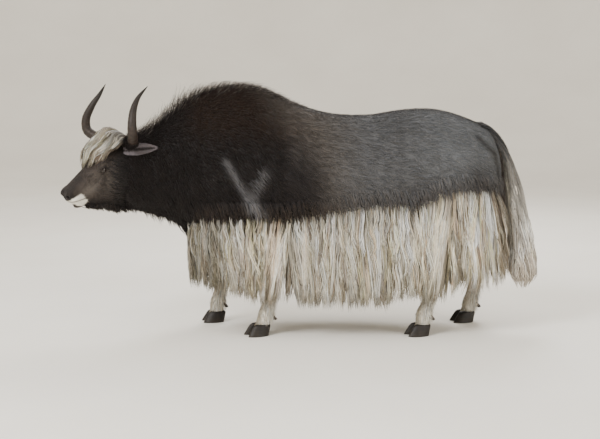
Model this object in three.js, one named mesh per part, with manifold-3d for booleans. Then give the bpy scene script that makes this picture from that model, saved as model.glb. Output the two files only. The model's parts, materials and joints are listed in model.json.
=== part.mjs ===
// A standing domestic yak, life size, in millimetres. +Z is up, the animal faces -X and its left side faces -Y.
// Every solid follows the tips of the coat. The body is one swept form that thin cuts part into neck, shoulders,
// barrel and hindquarters; the long belly hair hangs round it as separate curtains.
import * as THREE from "three";
import { mergeVertices } from "three/addons/utils/BufferGeometryUtils.js";
import Module from "manifold-3d";

const wasm = await Module();
wasm.setup();

// ---------------------------------------------------------------- driving dimensions
const GAP = 0.3; // clearance between neighbouring pieces
const BODY_FRONT = -1010,
  BODY_REAR = 1118; // the swept form runs from behind the head to the buttocks
// Stations of neck and trunk: x, top line, underline, half width, ridge (how far the section narrows upwards)
const BODY = [
  [-1010, 1030, 738, 70, 0.1],
  [-930, 1088, 676, 108, 0.15],
  [-825, 1132, 646, 150, 0.25],
  [-730, 1196, 618, 186, 0.35],
  [-660, 1258, 574, 212, 0.42],
  [-603, 1296, 516, 234, 0.46],
  [-476, 1346, 482, 266, 0.5],
  [-328, 1370, 468, 292, 0.5],
  [-174, 1340, 470, 312, 0.45],
  [-57, 1284, 478, 326, 0.38],
  [58, 1237, 488, 336, 0.3],
  [175, 1209, 492, 342, 0.24],
  [291, 1199, 495, 342, 0.2],
  [407, 1203, 500, 336, 0.2],
  [523, 1222, 510, 326, 0.22],
  [639, 1234, 530, 313, 0.25],
  [756, 1229, 560, 300, 0.26],
  [872, 1200, 590, 282, 0.26],
  [988, 1152, 630, 252, 0.22],
  [1060, 1108, 670, 222, 0.18],
  [1118, 1062, 700, 196, 0.12],
];
const BODY_DOME = 95; // how far before the rear end the buttocks start to round off
const WAIST = 0.44; // height of the widest point, as a share of the section
const NECK_BEND = -60; // the neck carries the head this far to the left

// Head: its own axis runs from the poll to the nose
const POLL = [-1000, -52, 1068],
  HEAD_YAW = 40,
  HEAD_PITCH = 35,
  HEAD_ROLL = -1; // the left side is a little lower
const HEAD_BACK = -48,
  HEAD_NOSE = 446,
  MUZZLE_AT = 352;
// Stations of the head: distance from the poll, forehead line, line of the jaw with its hair, half width
const HEAD = [
  [-48, -54, -170, 60],
  [-14, -14, -244, 86],
  [28, 2, -310, 98],
  [72, 8, -358, 104],
  [122, 10, -383, 108],
  [172, 7, -382, 109],
  [220, 2, -350, 96],
  [275, -5, -299, 78],
  [328, -10, -248, 65],
  [372, -14, -204, 59],
  [404, -19, -172, 56],
  [430, -27, -146, 51],
  [446, -38, -124, 44],
];
const BROW = { at: 198, side: 74, down: -34, radius: 32 };
const EYE = { at: 206, down: -50, side: 84, radius: 20 };
const NOSTRIL = { at: 437, down: -62, side: 28, radius: 13 };
const HORN_ROOT = 30, // radius at the skull
  HORN_TAPER = 0.9; // share of it lost on the way to the tip
// Horn line, in the level frame of the head: forward, outward, up
const HORN = [
  [-20, 50, -28],
  [-8, 120, -16],
  [18, 188, -3],
  [47, 233, 32],
  [52, 237, 92],
  [27, 214, 168],
  [-12, 200, 228],
  [-62, 214, 288],
];
const EAR = { root: [12, 88, -63], tip: [-118, 234, -41], wide: 34, thick: 11 };
const FORELOCK = [
  // distance from the poll, height over the forehead, half width
  [-60, 34, 70],
  [-28, 84, 98],
  [22, 108, 114],
  [80, 96, 116],
  [134, 84, 110],
  [178, 84, 100],
  [214, 76, 86],
  [242, 50, 66],
];

// Feet: [name, side, foot x, foot y, heel of the hoof to the knee or hock, then the limb's upper end]
const HOOF = { height: 64, long: 122, wide: 112, cleft: 7, splay: 6 }; // splay: degrees that each claw turns out
const TURN = { foreleg_left: 22, foreleg_right: 12, hindleg_left: 15, hindleg_right: 12 }; // degrees that a foot turns to the left
const LIMBS = {
  foreleg_left: {
    foot: [-245, -190],
    line: [[45, 0, 58], [60, 0, 118], [76, 2, 210], [112, 4, 330], [128, 8, 440], [138, 12, 560], [140, 14, 700]],
  },
  foreleg_right: {
    foot: [-507, 190],
    line: [[31, 0, 58], [35, 0, 118], [53, -2, 210], [85, -4, 332], [122, -8, 440], [165, -12, 560], [185, -14, 700]],
  },
  hindleg_left: {
    foot: [631, -190],
    line: [[44, 0, 58], [46, 0, 118], [82, 0, 220], [138, 2, 372], [126, 8, 470], [86, 14, 600], [70, 20, 740]],
  },
  hindleg_right: {
    foot: [925, 190],
    line: [[44, 0, 58], [56, 0, 118], [76, 0, 220], [82, -2, 378], [40, -8, 480], [-10, -14, 600], [-30, -20, 740]],
  },
};
// Half sizes of a leg with its hair, fore and aft then across, at the same points
const FORE_SIZE = [[42, 46], [45, 47], [42, 42], [60, 54], [68, 56], [84, 60], [96, 64]];
const HIND_SIZE = [[44, 46], [46, 48], [44, 42], [62, 48], [66, 52], [98, 64], [120, 70]];

// Hair curtains: plan line on the left side, x and distance from the middle
const CURTAIN = [
  [-592, 158], [-560, 196], [-500, 232], [-400, 270], [-250, 303], [-50, 325], [150, 338],
  [330, 340], [520, 328], [700, 308], [860, 284], [980, 248], [1052, 196], [1088, 128], [1096, 78],
];
const BRISKET = [[-586, -150], [-604, -110], [-612, -40], [-612, 40], [-604, 110], [-586, 150]]; // the chest fringe, right across
// Height where the pale hair starts, and height of its hem, along the body
const PALE_LINE = [[-620, 592], [-560, 622], [-400, 636], [-60, 644], [120, 672], [310, 706], [500, 720], [620, 704], [700, 748], [800, 784], [990, 788], [1080, 776], [1120, 762]];
const HEM = [[-620, 262], [-520, 240], [-400, 212], [-250, 182], [-100, 164], [100, 158], [350, 152], [520, 166], [620, 192], [700, 172], [790, 156], [900, 186], [1000, 236], [1100, 285]];
const LOCK = { wide: 116, deep: 28 }; // the points of the hem
const TAIL = [
  // x, y, z along the middle line, then half size fore and aft and across
  [1030, 0, 1118, 30, 34],
  [1092, -2, 1046, 36, 44],
  [1146, -4, 930, 40, 56],
  [1184, -8, 780, 52, 70],
  [1218, -12, 600, 64, 84],
  [1240, -14, 430, 72, 90],
  [1246, -16, 300, 68, 80],
  [1244, -14, 196, 28, 36],
];
const TAIL_CUT = 800; // dock above, brush below

// ---------------------------------------------------------------- tools
const { PI, cos, sin, sqrt, abs, sign, min, max, hypot } = Math;
const clamp = (v, lo, hi) => min(hi, max(lo, v));

// A smooth value through the stations of a table: column k as a function of column 0
function through(table, k) {
  const x = table.map((r) => r[0]),
    y = table.map((r) => r[k]),
    n = x.length;
  const slope = x.map((_, i) => {
    if (i === 0 || i === n - 1) return i ? (y[i] - y[i - 1]) / (x[i] - x[i - 1]) : (y[1] - y[0]) / (x[1] - x[0]);
    const a = (y[i] - y[i - 1]) / (x[i] - x[i - 1]),
      b = (y[i + 1] - y[i]) / (x[i + 1] - x[i]);
    return (a * (x[i + 1] - x[i]) + b * (x[i] - x[i - 1])) / (x[i + 1] - x[i - 1]);
  });
  return (at) => {
    const v = clamp(at, x[0], x[n - 1]);
    let i = 0;
    while (i < n - 2 && v > x[i + 1]) i++;
    const d = x[i + 1] - x[i],
      u = (v - x[i]) / d;
    return (
      y[i] * (1 + 2 * u) * (1 - u) ** 2 + slope[i] * d * u * (1 - u) ** 2 +
      y[i + 1] * u * u * (3 - 2 * u) + slope[i + 1] * d * u * u * (u - 1)
    );
  };
}

// A closed tube: sections from t = 0 to 1, each with corners at angle a, and flat ends whose middle has k = 0
function tube(sections, corners, place) {
  const g = new THREE.CylinderGeometry(1, 1, 1, corners, sections);
  const p = g.attributes.position,
    v = new THREE.Vector3();
  for (let i = 0; i < p.count; i++) {
    v.fromBufferAttribute(p, i);
    const out = place(clamp(0.5 - v.y, 0, 1), Math.atan2(v.x, v.z), hypot(v.x, v.z) < 0.5 ? 0 : 1);
    p.setXYZ(i, ...out);
  }
  return facingOut(g);
}
function facingOut(g) {
  const bare = g.clone();
  for (const name of Object.keys(bare.attributes)) if (name !== "position") bare.deleteAttribute(name);
  const m = mergeVertices(bare, 1e-3),
    p = m.attributes.position,
    ix = m.index.array;
  let volume = 0;
  const a = new THREE.Vector3(), b = new THREE.Vector3(), c = new THREE.Vector3();
  const kept = [];
  for (let i = 0; i < ix.length; i += 3) {
    if (ix[i] === ix[i + 1] || ix[i + 1] === ix[i + 2] || ix[i] === ix[i + 2]) continue;
    kept.push(ix[i], ix[i + 1], ix[i + 2]);
    volume += a.fromBufferAttribute(p, ix[i]).dot(b.fromBufferAttribute(p, ix[i + 1]).cross(c.fromBufferAttribute(p, ix[i + 2])));
  }
  if (volume < 0) for (let i = 0; i < kept.length; i += 3) [kept[i + 1], kept[i + 2]] = [kept[i + 2], kept[i + 1]];
  m.setIndex(kept);
  return m;
}
const solid = (g) =>
  new wasm.Manifold(new wasm.Mesh({ numProp: 3, vertProperties: new Float32Array(g.attributes.position.array), triVerts: new Uint32Array(g.index.array) }));
function shown(s) {
  const m = s.getMesh(),
    v = new Float32Array(m.numVert * 3);
  for (let i = 0; i < m.numVert; i++) for (let k = 0; k < 3; k++) v[3 * i + k] = m.vertProperties[m.numProp * i + k];
  const g = new THREE.BufferGeometry().setAttribute("position", new THREE.BufferAttribute(v, 3)).setIndex([...m.triVerts]);
  g.computeVertexNormals();
  return g;
}
// Keeps the largest body of a cut, so that no loose sliver stays
const largest = (s) => s.decompose().sort((a, b) => b.volume() - a.volume())[0];
const superellipse = (v, n) => sign(v) * abs(v) ** (2 / n);
// Sections drawn together towards both ends
const eased = (t, k = 0.85) => t - (k * sin(2 * PI * t)) / (2 * PI);

// A big slab for thin cuts: all that lies on the far side of a plane through p along direction n
function beyond(p, n) {
  const g = new THREE.BoxGeometry(6000, 6000, 6000);
  g.translate(0, 0, 3000);
  g.applyQuaternion(new THREE.Quaternion().setFromUnitVectors(new THREE.Vector3(0, 0, 1), new THREE.Vector3(...n).normalize()));
  g.translate(...p);
  return solid(facingOut(g));
}

// ---------------------------------------------------------------- scene graph
const yak = new THREE.Group();
const skull = new THREE.Group(); // level frame of the head: +X forward, +Y to the animal's left
skull.position.set(...POLL);
skull.rotation.set(THREE.MathUtils.degToRad(HEAD_ROLL), 0, PI + THREE.MathUtils.degToRad(HEAD_YAW), "ZYX");
const face = new THREE.Group(); // tilted frame: +X from the poll to the nose, +Z out of the forehead
face.rotation.y = THREE.MathUtils.degToRad(HEAD_PITCH);
skull.add(face);
yak.add(skull);
yak.updateMatrixWorld(true);
const coat = (color, roughness = 0.9) => new THREE.MeshStandardMaterial({ color, roughness, metalness: 0 });
const dark = coat(0x2a2422),
  slate = coat(0x55524f),
  pale = coat(0xcabfab),
  tan = coat(0xb7a488),
  cream = coat(0xc9c0a6),
  horn = coat(0x3d322c, 0.45),
  hoof = coat(0x1d1a18, 0.5),
  eyes = coat(0x120c0a, 0.12),
  nose = coat(0xd9d4ca, 0.7),
  brush = coat(0x8d8578);
function add(name, material, s, frame = yak) {
  const mesh = new THREE.Mesh(shown(largest(s)), material);
  mesh.name = name;
  frame.add(mesh);
}

// ---------------------------------------------------------------- neck and trunk
const [bodyTop, bodyLow, bodyHalf, bodyRidge] = [1, 2, 3, 4].map((k) => through(BODY, k));
const bend = (x) => NECK_BEND * clamp((-560 - x) / 400, 0, 1) ** 1.5;
function bodyAt(grow, sections = 36, corners = 18) {
  return tube(sections, corners, (t, a, k) => {
    const x = BODY_FRONT + (BODY_REAR - BODY_FRONT) * eased(t, 0.55) + (t === 1 ? grow : 0);
    const dome = sqrt(max(0.03, 1 - clamp((x - (BODY_REAR - BODY_DOME)) / BODY_DOME, 0, 0.985) ** 2));
    const high = bodyTop(x), low = bodyLow(x), middle = low + WAIST * (high - low);
    const up = (high - middle) * dome + grow, down = (middle - low) * dome + grow, half = bodyHalf(x) * dome + grow;
    const c = superellipse(cos(a), 2.25), s = superellipse(sin(a), 2.25);
    return [x, bend(x) + k * half * s * (1 - bodyRidge(x) * max(0, c) ** 1.4), middle + k * (c > 0 ? up : down) * c];
  });
}
const body = solid(bodyAt(0)),
  bodyRoom = solid(bodyAt(GAP));

// ---------------------------------------------------------------- head
const [brow, jaw, cheek] = [1, 2, 3].map((k) => through(HEAD, k));
function headAt(grow, sections = 18, corners = 16) {
  return tube(sections, corners, (t, a, k) => {
    const x = HEAD_BACK - grow + (HEAD_NOSE - HEAD_BACK + 2 * grow) * eased(t, 0.8);
    const end = min(clamp((x - HEAD_BACK) / 46, 0, 1), clamp((HEAD_NOSE - x) / 34, 0, 1));
    const dome = sqrt(max(0.12, 1 - (1 - end) ** 2));
    const high = brow(x), low = jaw(x), middle = low + 0.56 * (high - low);
    const c = superellipse(cos(a), 2.5), s = superellipse(sin(a), 2.5);
    // the jaw is narrower than the forehead, and the cheeks swell over its angle
    const narrow = 1 - 0.34 * max(0, -c) ** 1.5 - 0.1 * max(0, c) ** 3;
    return [x, k * (cheek(x) * dome + grow) * s * narrow, middle + k * ((c > 0 ? high - middle : middle - low) * dome + grow) * c];
  });
}
function ball(radius, [x, y, z], scale = [1, 1, 1], around = 10, along = 8) {
  const g = new THREE.SphereGeometry(radius, around, along);
  g.scale(...scale);
  g.translate(x, y, z);
  return facingOut(g);
}
const eyeAt = (side) => [EYE.at, side * EYE.side, EYE.down];
// the brows swell over the eyes
function headForm(grow) {
  let s = solid(headAt(grow));
  for (const side of [1, -1]) s = s.add(solid(ball(BROW.radius + grow, [BROW.at, side * BROW.side, BROW.down], [1.4, 1, 0.85], 10, 6)));
  return s;
}
// room for the head: its form grown by the gap, and made a little larger about two points inside
const headRoom = [[200, 0, -190], [90, 0, -80]].reduce(
  (s, [x, y, z]) => s.add(headForm(0).translate([-x, -y, -z]).scale(1.006).translate([x, y, z])),
  headForm(GAP),
);
// the same form seen in another group's frame
const seen = (s, from, to) => s.transform(to.matrixWorld.clone().invert().multiply(from.matrixWorld).toArray());
let headSolid = headForm(0);
for (const side of [1, -1]) {
  headSolid = headSolid.subtract(solid(ball(EYE.radius + GAP, eyeAt(side))));
  headSolid = headSolid.subtract(solid(ball(NOSTRIL.radius, [NOSTRIL.at, side * NOSTRIL.side, NOSTRIL.down], [1.1, 0.8, 1], 8, 6)));
}
const snout = beyond([MUZZLE_AT, 0, 0], [1, 0, -0.12]),
  snoutRoom = beyond([MUZZLE_AT - GAP, 0, 0], [1, 0, -0.12]);
add("head", dark, headSolid.subtract(snoutRoom), face);
add("muzzle", nose, headSolid.intersect(snout), face);
for (const [side, name] of [[1, "left"], [-1, "right"]]) add("eye_" + name, eyes, solid(ball(EYE.radius, eyeAt(side))), face);

// horns: round, swept out, forward and up, then back at the tips
function hornAt(side, grow) {
  const line = new THREE.CatmullRomCurve3(HORN.map(([f, l, z]) => new THREE.Vector3(f, side * l, z)), false, "centripetal");
  const frames = line.computeFrenetFrames(14, false);
  return tube(14, 8, (t, a, k) => {
    const i = Math.round(t * 14),
      r = (HORN_ROOT * (1 - HORN_TAPER * t ** 2.8) + grow) * k,
      p = line.getPointAt(t);
    p.addScaledVector(frames.normals[i], r * cos(a)).addScaledVector(frames.binormals[i], r * sin(a));
    return [p.x, p.y, p.z];
  });
}
const skullInLevel = seen(headRoom, face, skull);
for (const [side, name] of [[1, "left"], [-1, "right"]]) add("horn_" + name, horn, solid(hornAt(side, 0)).subtract(skullInLevel), skull);

// ears: long leaves, hollowed towards the front
function earAt(side, grow) {
  const root = new THREE.Vector3(...EAR.root), tip = new THREE.Vector3(...EAR.tip);
  const along = tip.clone().sub(root), length = along.length();
  along.normalize();
  const across = new THREE.Vector3(-0.25, -0.15, 1).addScaledVector(along, -new THREE.Vector3(-0.25, -0.15, 1).dot(along)).normalize(),
    front = new THREE.Vector3().crossVectors(along, across).normalize();
  return tube(9, 8, (t, a, k) => {
    const wide = EAR.wide * sin(PI * clamp(0.16 + 0.84 * t, 0, 1)) ** 0.75 + 3 + grow,
      thick = EAR.thick * (1 - 0.55 * t) + grow;
    const c = cos(a), s = sin(a);
    const dip = 12 * c * c * (wide / EAR.wide) - 6; // the edges curl forward round the hollow
    const p = root.clone().addScaledVector(along, length * t).addScaledVector(across, k * wide * c).addScaledVector(front, k * thick * s + dip * k);
    return [p.x, side * p.y, p.z];
  });
}
for (const [side, name] of [[1, "left"], [-1, "right"]]) add("ear_" + name, dark, solid(earAt(side, 0)).subtract(skullInLevel).subtract(solid(hornAt(side, GAP))), skull);

// forelock: a thick mop from the poll down over the forehead
function forelockAt(grow) {
  const [rise, half] = [1, 2].map((k) => through(FORELOCK, k)),
    back = FORELOCK[0][0],
    front = FORELOCK[FORELOCK.length - 1][0];
  return tube(8, 12, (t, a, k) => {
    const x = back - grow + (front - back + 2 * grow) * t;
    const notch = 1 + 0.05 * cos(5 * a + 9 * t),
      c = cos(a), s = sin(a);
    const base = brow(x) - 10 - 22 * clamp(-x / 60, 0, 1.4);
    return [x + k * 10 * t * sin(4 * a), k * (half(x) + grow) * s * notch, base + k * c * ((c > 0 ? rise(x) : 44 - 24 * clamp((x - 150) / 60, 0, 1)) + grow)];
  });
}
{
  let mop = solid(forelockAt(0)).subtract(headRoom);
  for (const side of [1, -1]) mop = mop.subtract(solid(ball(EYE.radius + 5, eyeAt(side))));
  for (const side of [1, -1]) mop = mop.subtract(seen(solid(hornAt(side, GAP)), skull, face)).subtract(seen(solid(earAt(side, GAP)), skull, face));
  add("forelock", cream, mop, face);
}

// ---------------------------------------------------------------- the swept form, parted
const neckCut = beyond([-548, 0, 900], [-1, 0, 0.16]),
  neckKeep = beyond([-548 + GAP, 0, 900], [-1, 0, 0.16]);
const barrelCut = beyond([-20, 0, 900], [1, 0, 0]),
  barrelKeep = beyond([-20 - GAP, 0, 900], [1, 0, 0]);
const rumpCut = beyond([640, 0, 900], [1, 0, 0]),
  rumpKeep = beyond([640 - GAP, 0, 900], [1, 0, 0]);
{
  let neck = body.intersect(neckCut).subtract(seen(headRoom, face, yak)).subtract(seen(solid(forelockAt(2)), face, yak));
  for (const side of [1, -1]) neck = neck.subtract(seen(solid(earAt(side, 1.5)), skull, yak)).subtract(seen(solid(hornAt(side, GAP)), skull, yak));
  add("neck", dark, neck.subtract(beyond([-972, 0, 900], [-1, -0.3, 0.25])));
}
add("shoulders", dark, body.subtract(neckKeep).subtract(barrelKeep));
add("barrel", slate, body.intersect(barrelCut).subtract(rumpKeep));
add("hindquarters", slate, body.intersect(rumpCut));

// ---------------------------------------------------------------- legs and hooves
function limbAt(line, size, grow) {
  const ts = line.map((_, i) => i / (line.length - 1));
  const table = line.map((p, i) => [ts[i], ...p, ...size[i]]);
  const [px, py, pz, sx, sy] = [1, 2, 3, 4, 5].map((k) => through(table, k));
  return tube(9, 9, (t, a, k) => {
    const c = superellipse(cos(a), 2.2), s = superellipse(sin(a), 2.2);
    return [px(t) + k * (sx(t) + grow) * c, py(t) + k * (sy(t) + grow) * s, pz(t)];
  });
}
// One claw of a cloven hoof: flat inside and under, sloping at the toe
function clawAt(side) {
  const { height, long, wide, cleft, splay } = HOOF,
    heel = 66,
    open = -side * THREE.MathUtils.degToRad(splay);
  return tube(3, 10, (t, a, k) => {
    const z = height * (1 - t) - GAP * (1 - t);
    const lean = 26 * (1 - t) ** 1.1; // the wall slopes forward down to the toe
    const grown = 0.8 + 0.2 * t;
    let x = (long / 2) * grown * cos(a), y = (wide / 2 - cleft / 2) * grown * sin(a) ;
    y = (y + (wide / 2 - cleft / 2) * grown) / 2;
    const toe = clamp(-cos(a), 0, 1);
    const dx = 10 + lean + k * x * (toe > 0 ? 1.06 : 0.92) - heel,
      dy = side * (k ? y * (1 - 0.18 * toe ** 3) : (wide / 2 - cleft / 2) / 2);
    return [heel + dx * cos(open) - dy * sin(open), (side * cleft) / 2 + dx * sin(open) + dy * cos(open), z];
  });
}
const legRooms = [];
for (const [name, { foot: stand, line }] of Object.entries(LIMBS)) {
  const leg = new THREE.Group(); // its origin is on the ground under the hoof
  leg.position.set(stand[0], stand[1], 0);
  yak.add(leg);
  leg.updateMatrixWorld(true);
  const size = name.startsWith("fore") ? FORE_SIZE : HIND_SIZE,
    short = (name.startsWith("fore") ? "fore" : "hind") + (name.endsWith("left") ? "_left" : "_right");
  const ground = beyond([0, 0, HOOF.height], [0, 0, -1]);
  add(name, tan, solid(limbAt(line, size, 0)).subtract(ground).subtract(seen(bodyRoom, yak, leg)), leg);
  const foot = new THREE.Group(); // turns about the line of the leg
  foot.position.x = line[0][0];
  foot.rotation.z = THREE.MathUtils.degToRad(TURN[name]);
  leg.add(foot);
  leg.updateMatrixWorld(true);
  const room = seen(solid(limbAt(line, size, GAP)), leg, foot);
  legRooms.push(seen(solid(limbAt(line, size, 2)), leg, yak));
  for (const [side, where] of [[-1, "l"], [1, "r"]]) {
    add("hoof_" + short + "_" + where, hoof, solid(facingOut(clawAt(side).translate(-line[0][0], 0, 0))), foot);
    const spur = new THREE.ConeGeometry(12, 34, 8, 1);
    spur.rotateX(PI);
    spur.rotateY(0.5 * side);
    spur.scale(1, 1, 1.1);
    spur.rotateX(PI / 2);
    spur.rotateY(-0.9);
    spur.translate(line[1][0] - line[0][0] + 44, side * 24, 98);
    add("dewclaw_" + short + "_" + where, hoof, solid(facingOut(spur)).subtract(room), foot);
  }
}

// ---------------------------------------------------------------- hair curtains
const paleLine = through(PALE_LINE, 1),
  hemLine = through(HEM, 1);
const lengths = (line) => {
  const c = new THREE.CatmullRomCurve3(line.map(([x, y]) => new THREE.Vector3(x, y, 0)), false, "centripetal");
  return { c, length: c.getLength() };
};
// A hanging sheet of locks along a plan line: outer face, pointed hem, inner face
function curtain(line, side, top, hem, thick, points, grow = 0) {
  const c = new THREE.CatmullRomCurve3(line.map(([x, y]) => new THREE.Vector3(x, y, 0)), false, "centripetal"),
    count = points || 2 * Math.round(c.getLength() / LOCK.wide),
    shares = [0, 0.2, 0.62, 1];
  return tube(count, 6, (t, a, k) => {
    const p = c.getPointAt(t), d = c.getTangentAt(t);
    const i = Math.round(a / (PI / 3) + 6) % 6, // corners: top, two outside, hem, two inside
      share = shares[i <= 3 ? i : 6 - i];
    const high = top(p.x),
      low = hem(p.x) + (Math.round(t * count) % 2 ? 0 : LOCK.deep) * (1 + 0.4 * sin(7 * t * PI));
    const out = i === 0 ? -0.22 * thick : i === 3 ? -0.3 * thick : i < 3 ? 5 * (i - 1) + grow : -thick * (1 - 0.5 * share),
      off = k ? out : -thick * 0.35;
    return [p.x - d.y * off, side * (p.y + d.x * off), k ? high + (low - high) * share : (high + low) / 2];
  });
}
const skirtTop = (x) => paleLine(x) + 6;
const sideRooms = {};
for (const [side, name] of [[-1, "left"], [1, "right"]])
{
  sideRooms[side] = solid(curtain([[-604, 144], ...CURTAIN], side, (x) => skirtTop(x) + 2, (x) => hemLine(x) - 60, 60, 0, 1.5));
  add("skirt_" + name, pale, legRooms.reduce((s, room) => s.subtract(room), solid(curtain(CURTAIN, side, skirtTop, hemLine, 46)).subtract(bodyRoom)));
}
{
  // The chest fringe closes the front between the two side curtains
  let fringe = solid(curtain(BRISKET, 1, () => 592, () => 258, 44, 8)).subtract(bodyRoom);
  for (const side of [1, -1]) fringe = fringe.subtract(sideRooms[side]);
  add("skirt_chest", pale, fringe);
}

// ---------------------------------------------------------------- tail
function tailAt(grow) {
  const n = TAIL.length - 1,
    table = TAIL.map((r, i) => [i / n, ...r]);
  const [x, y, z, thick, wide] = [1, 2, 3, 4, 5].map((k) => through(table, k));
  return tube(16, 10, (t, a, k) => {
    const d = new THREE.Vector3(x(t + 0.01) - x(t - 0.01), 0, z(t + 0.01) - z(t - 0.01)).normalize();
    const back = new THREE.Vector3(-d.z, 0, d.x);
    const r = k * (thick(t) + grow) * cos(a), w = k * (wide(t) + grow) * sin(a);
    return [x(t) + back.x * r, y(t) + w, z(t) + back.z * r];
  });
}
const tail = solid(tailAt(0)).subtract(bodyRoom);
add("tail_dock", slate, tail.intersect(beyond([1200, 0, TAIL_CUT + GAP / 2], [0.15, 0, 1])));
add("tail_brush", brush, tail.intersect(beyond([1200, 0, TAIL_CUT - GAP / 2], [-0.15, 0, -1])));

// ---------------------------------------------------------------- origin: the middle of the footprint box, on the ground
yak.updateMatrixWorld(true);
const box = new THREE.Box3().setFromObject(yak, true);
for (const child of yak.children) {
  child.position.x -= (box.min.x + box.max.x) / 2;
  child.position.y -= (box.min.y + box.max.y) / 2;
}
export default yak;
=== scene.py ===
# A museum yak: one skin with folds and lids, solid tufts of coat over it, and glossy eyes, ringed horns and cloven hooves.
# Shapes are worked out in millimetres in the same layout as the solids, then moved into the frame in metres.
import json
import math

import bmesh
import bpy
import numpy as np
from mathutils import Matrix, Vector

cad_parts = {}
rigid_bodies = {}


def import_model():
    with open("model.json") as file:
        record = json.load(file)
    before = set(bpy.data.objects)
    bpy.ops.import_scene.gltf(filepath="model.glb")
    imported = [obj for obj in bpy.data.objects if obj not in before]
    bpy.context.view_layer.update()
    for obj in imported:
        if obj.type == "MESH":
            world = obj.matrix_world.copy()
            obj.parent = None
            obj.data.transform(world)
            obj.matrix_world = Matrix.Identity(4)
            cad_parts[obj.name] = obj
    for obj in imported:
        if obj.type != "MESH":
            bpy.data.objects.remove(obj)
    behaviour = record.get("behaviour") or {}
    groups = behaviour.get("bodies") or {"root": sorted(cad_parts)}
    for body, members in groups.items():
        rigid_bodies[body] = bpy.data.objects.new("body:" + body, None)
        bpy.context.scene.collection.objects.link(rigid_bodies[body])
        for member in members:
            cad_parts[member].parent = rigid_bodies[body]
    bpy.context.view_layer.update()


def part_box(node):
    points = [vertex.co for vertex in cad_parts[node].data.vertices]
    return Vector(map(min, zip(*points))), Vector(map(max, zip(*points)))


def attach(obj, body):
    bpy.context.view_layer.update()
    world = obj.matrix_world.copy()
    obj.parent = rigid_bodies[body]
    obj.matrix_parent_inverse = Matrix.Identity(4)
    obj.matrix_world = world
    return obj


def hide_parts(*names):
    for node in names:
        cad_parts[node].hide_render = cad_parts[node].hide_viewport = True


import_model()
RNG = np.random.default_rng(7)

# ------------------------------------------------------------------ the solids' own sizes
BODY_REAR, BODY_DOME, WAIST, NECK_BEND = 1118.0, 95.0, 0.44, -60.0
BODY = [
    [-1010, 1030, 738, 70, 0.1], [-930, 1088, 676, 108, 0.15], [-825, 1132, 646, 150, 0.25], [-730, 1196, 618, 186, 0.35],
    [-660, 1258, 574, 212, 0.42], [-603, 1296, 516, 234, 0.46], [-476, 1346, 482, 266, 0.5], [-328, 1370, 468, 292, 0.5],
    [-174, 1340, 470, 312, 0.45], [-57, 1284, 478, 326, 0.38], [58, 1237, 488, 336, 0.3], [175, 1209, 492, 342, 0.24],
    [291, 1199, 495, 342, 0.2], [407, 1203, 500, 336, 0.2], [523, 1222, 510, 326, 0.22], [639, 1234, 530, 313, 0.25],
    [756, 1229, 560, 300, 0.26], [872, 1200, 590, 282, 0.26], [988, 1152, 630, 252, 0.22], [1060, 1108, 670, 222, 0.18],
    [1118, 1062, 700, 196, 0.12],
]
POLL, HEAD_YAW, HEAD_PITCH, HEAD_ROLL = np.array([-1000.0, -52.0, 1068.0]), 40.0, 35.0, -1.0
# the head under its hair: distance from the poll, forehead line, jaw line, half width
HEAD_END = 445.0
HEAD = [
    [-60, -60, -150, 48], [-14, -22, -204, 80], [28, -4, -266, 93], [72, 2, -314, 100], [122, 5, -340, 104], [172, 2, -338, 104],
    [220, -4, -308, 91], [275, -11, -260, 73], [328, -16, -214, 60], [372, -20, -178, 54], [404, -25, -152, 51], [430, -33, -128, 46],
    [446, -44, -108, 38],
]
EYE = np.array([206.0, 84.0, -50.0])
EYE_R = 20.0
HORN = [[-20, 50, -28], [-8, 120, -16], [18, 188, -3], [47, 233, 32], [52, 237, 92], [27, 214, 168], [-12, 200, 228], [-62, 214, 288]]
HORN_R = 30.0
EAR_ROOT, EAR_TIP, EAR_W, EAR_T = np.array([12.0, 88.0, -63.0]), np.array([-118.0, 234.0, -41.0]), 34.0, 11.0
FORELOCK = [[-60, 34, 70], [-28, 84, 98], [22, 108, 114], [80, 96, 116], [134, 84, 110], [178, 84, 100], [214, 76, 86], [242, 50, 66]]
HOOF_H, HOOF_L, HOOF_W, CLEFT, SPLAY = 64.0, 122.0, 112.0, 7.0, 6.0
TURN = {"fore_left": 22.0, "fore_right": 12.0, "hind_left": 15.0, "hind_right": 12.0}  # degrees that a foot turns to the left
LIMBS = {
    "fore_left": ((-245, -190), [[45, 0, 58], [60, 0, 118], [76, 2, 210], [112, 4, 330], [128, 8, 440], [138, 12, 560], [140, 14, 700]]),
    "fore_right": ((-507, 190), [[31, 0, 58], [35, 0, 118], [53, -2, 210], [85, -4, 332], [122, -8, 440], [165, -12, 560], [185, -14, 700]]),
    "hind_left": ((631, -190), [[44, 0, 58], [46, 0, 118], [82, 0, 220], [138, 2, 372], [126, 8, 470], [86, 14, 600], [70, 20, 740]]),
    "hind_right": ((925, 190), [[44, 0, 58], [56, 0, 118], [76, 0, 220], [82, -2, 378], [40, -8, 480], [-10, -14, 600], [-30, -20, 740]]),
}
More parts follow.
